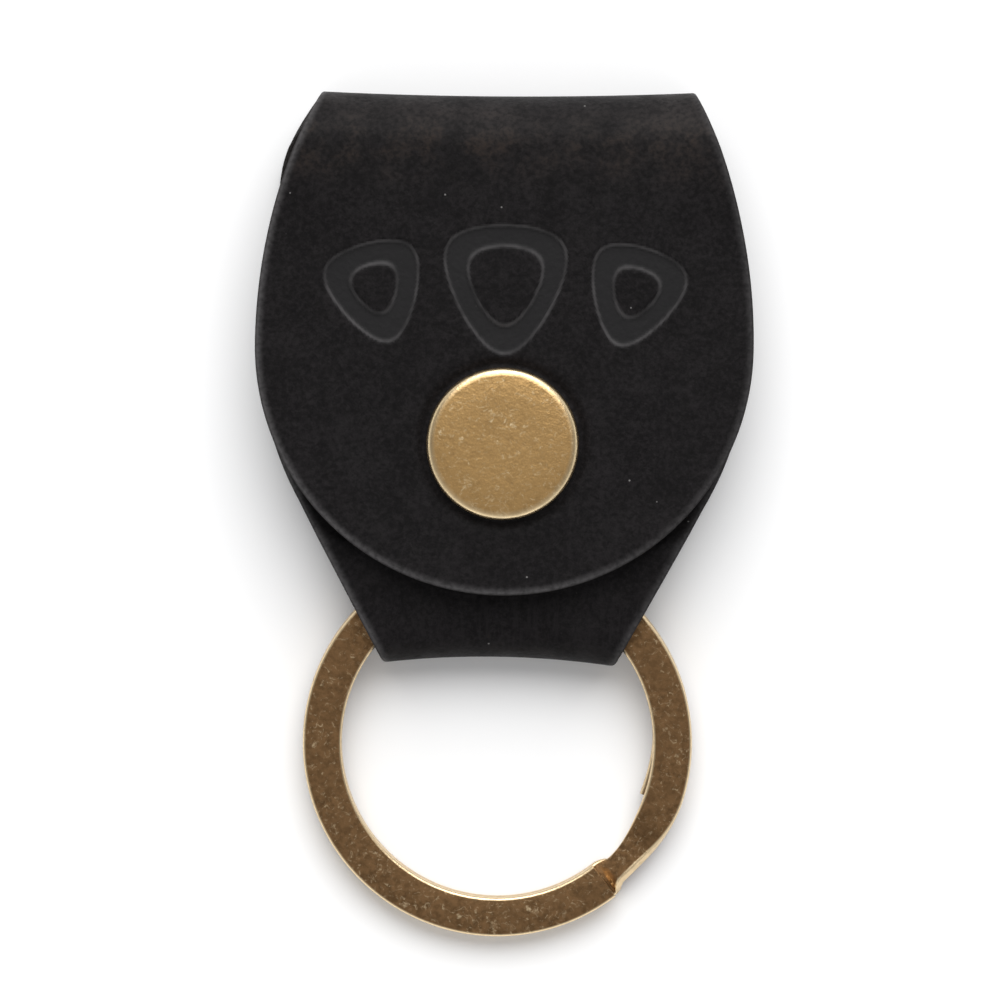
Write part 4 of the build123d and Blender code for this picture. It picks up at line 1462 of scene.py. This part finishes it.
class HOLDER_OT_flap(BuildStep):
    """Build the flap and the top fold"""

    bl_idname = "holder.flap"
    bl_label = "Flap"

    def execute(self, context):
        build_flap(self.sizes(context), self.colours(context))
        return {"FINISHED"}


class HOLDER_OT_pocket(BuildStep):
    """Build the back panel, the bottom fold and the pocket panel"""

    bl_idname = "holder.pocket"
    bl_label = "Pocket"

    def execute(self, context):
        build_pocket(self.sizes(context), self.colours(context))
        return {"FINISHED"}


class HOLDER_OT_stitches(BuildStep):
    """Sew the pocket's two sides"""

    bl_idname = "holder.stitches"
    bl_label = "Stitches"

    def execute(self, context):
        build_stitches(self.sizes(context), self.colours(context))
        return {"FINISHED"}


class HOLDER_OT_snap(BuildStep):
    """Build the snap's cap, post, socket, spring, stud and eyelet"""

    bl_idname = "holder.snap"
    bl_label = "Snap"

    def execute(self, context):
        build_snap(self.colours(context))
        return {"FINISHED"}


class HOLDER_OT_ring(BuildStep):
    """Wind the split ring"""

    bl_idname = "holder.ring"
    bl_label = "Split Ring"

    def execute(self, context):
        build_ring(self.sizes(context), self.colours(context))
        return {"FINISHED"}


class HOLDER_OT_stage(BuildStep):
    """Lay the floor and set up the light and the camera"""

    bl_idname = "holder.stage"
    bl_label = "Stage"

    def execute(self, context):
        build_floor(self.colours(context))
        build_world()
        build_lights()
        build_camera()
        return {"FINISHED"}


STEPS = (HOLDER_OT_flap, HOLDER_OT_pocket, HOLDER_OT_stitches, HOLDER_OT_snap, HOLDER_OT_ring, HOLDER_OT_stage)


class HOLDER_PT_panel(bpy.types.Panel):
    """Lists the steps, the sizes and the colours"""

    bl_idname = "HOLDER_PT_panel"
    bl_label = "Pick Holder"
    bl_space_type = "VIEW_3D"
    bl_region_type = "UI"
    bl_category = "Pick Holder"

    def draw(self, context):
        for step in STEPS:
            self.layout.operator(step.bl_idname)
        for group in (context.scene.holder_sizes, context.scene.holder_colours):
            column = self.layout.column()
            for name in group.__annotations__:
                column.prop(group, name)


CLASSES = (HolderSizes, HolderColours, *STEPS, HOLDER_PT_panel)


def register():
    for item in CLASSES:
        bpy.utils.register_class(item)
    bpy.types.Scene.holder_sizes = bpy.props.PointerProperty(type=HolderSizes)
    bpy.types.Scene.holder_colours = bpy.props.PointerProperty(type=HolderColours)


def unregister():
    del bpy.types.Scene.holder_colours
    del bpy.types.Scene.holder_sizes
    for item in reversed(CLASSES):
        bpy.utils.unregister_class(item)


def main():
    """Builds every piece in order."""
    register()
    bpy.ops.holder.flap()
    bpy.ops.holder.pocket()
    bpy.ops.holder.stitches()
    bpy.ops.holder.snap()
    bpy.ops.holder.ring()
    bpy.ops.holder.stage()


if __name__ == "__main__":
    main()
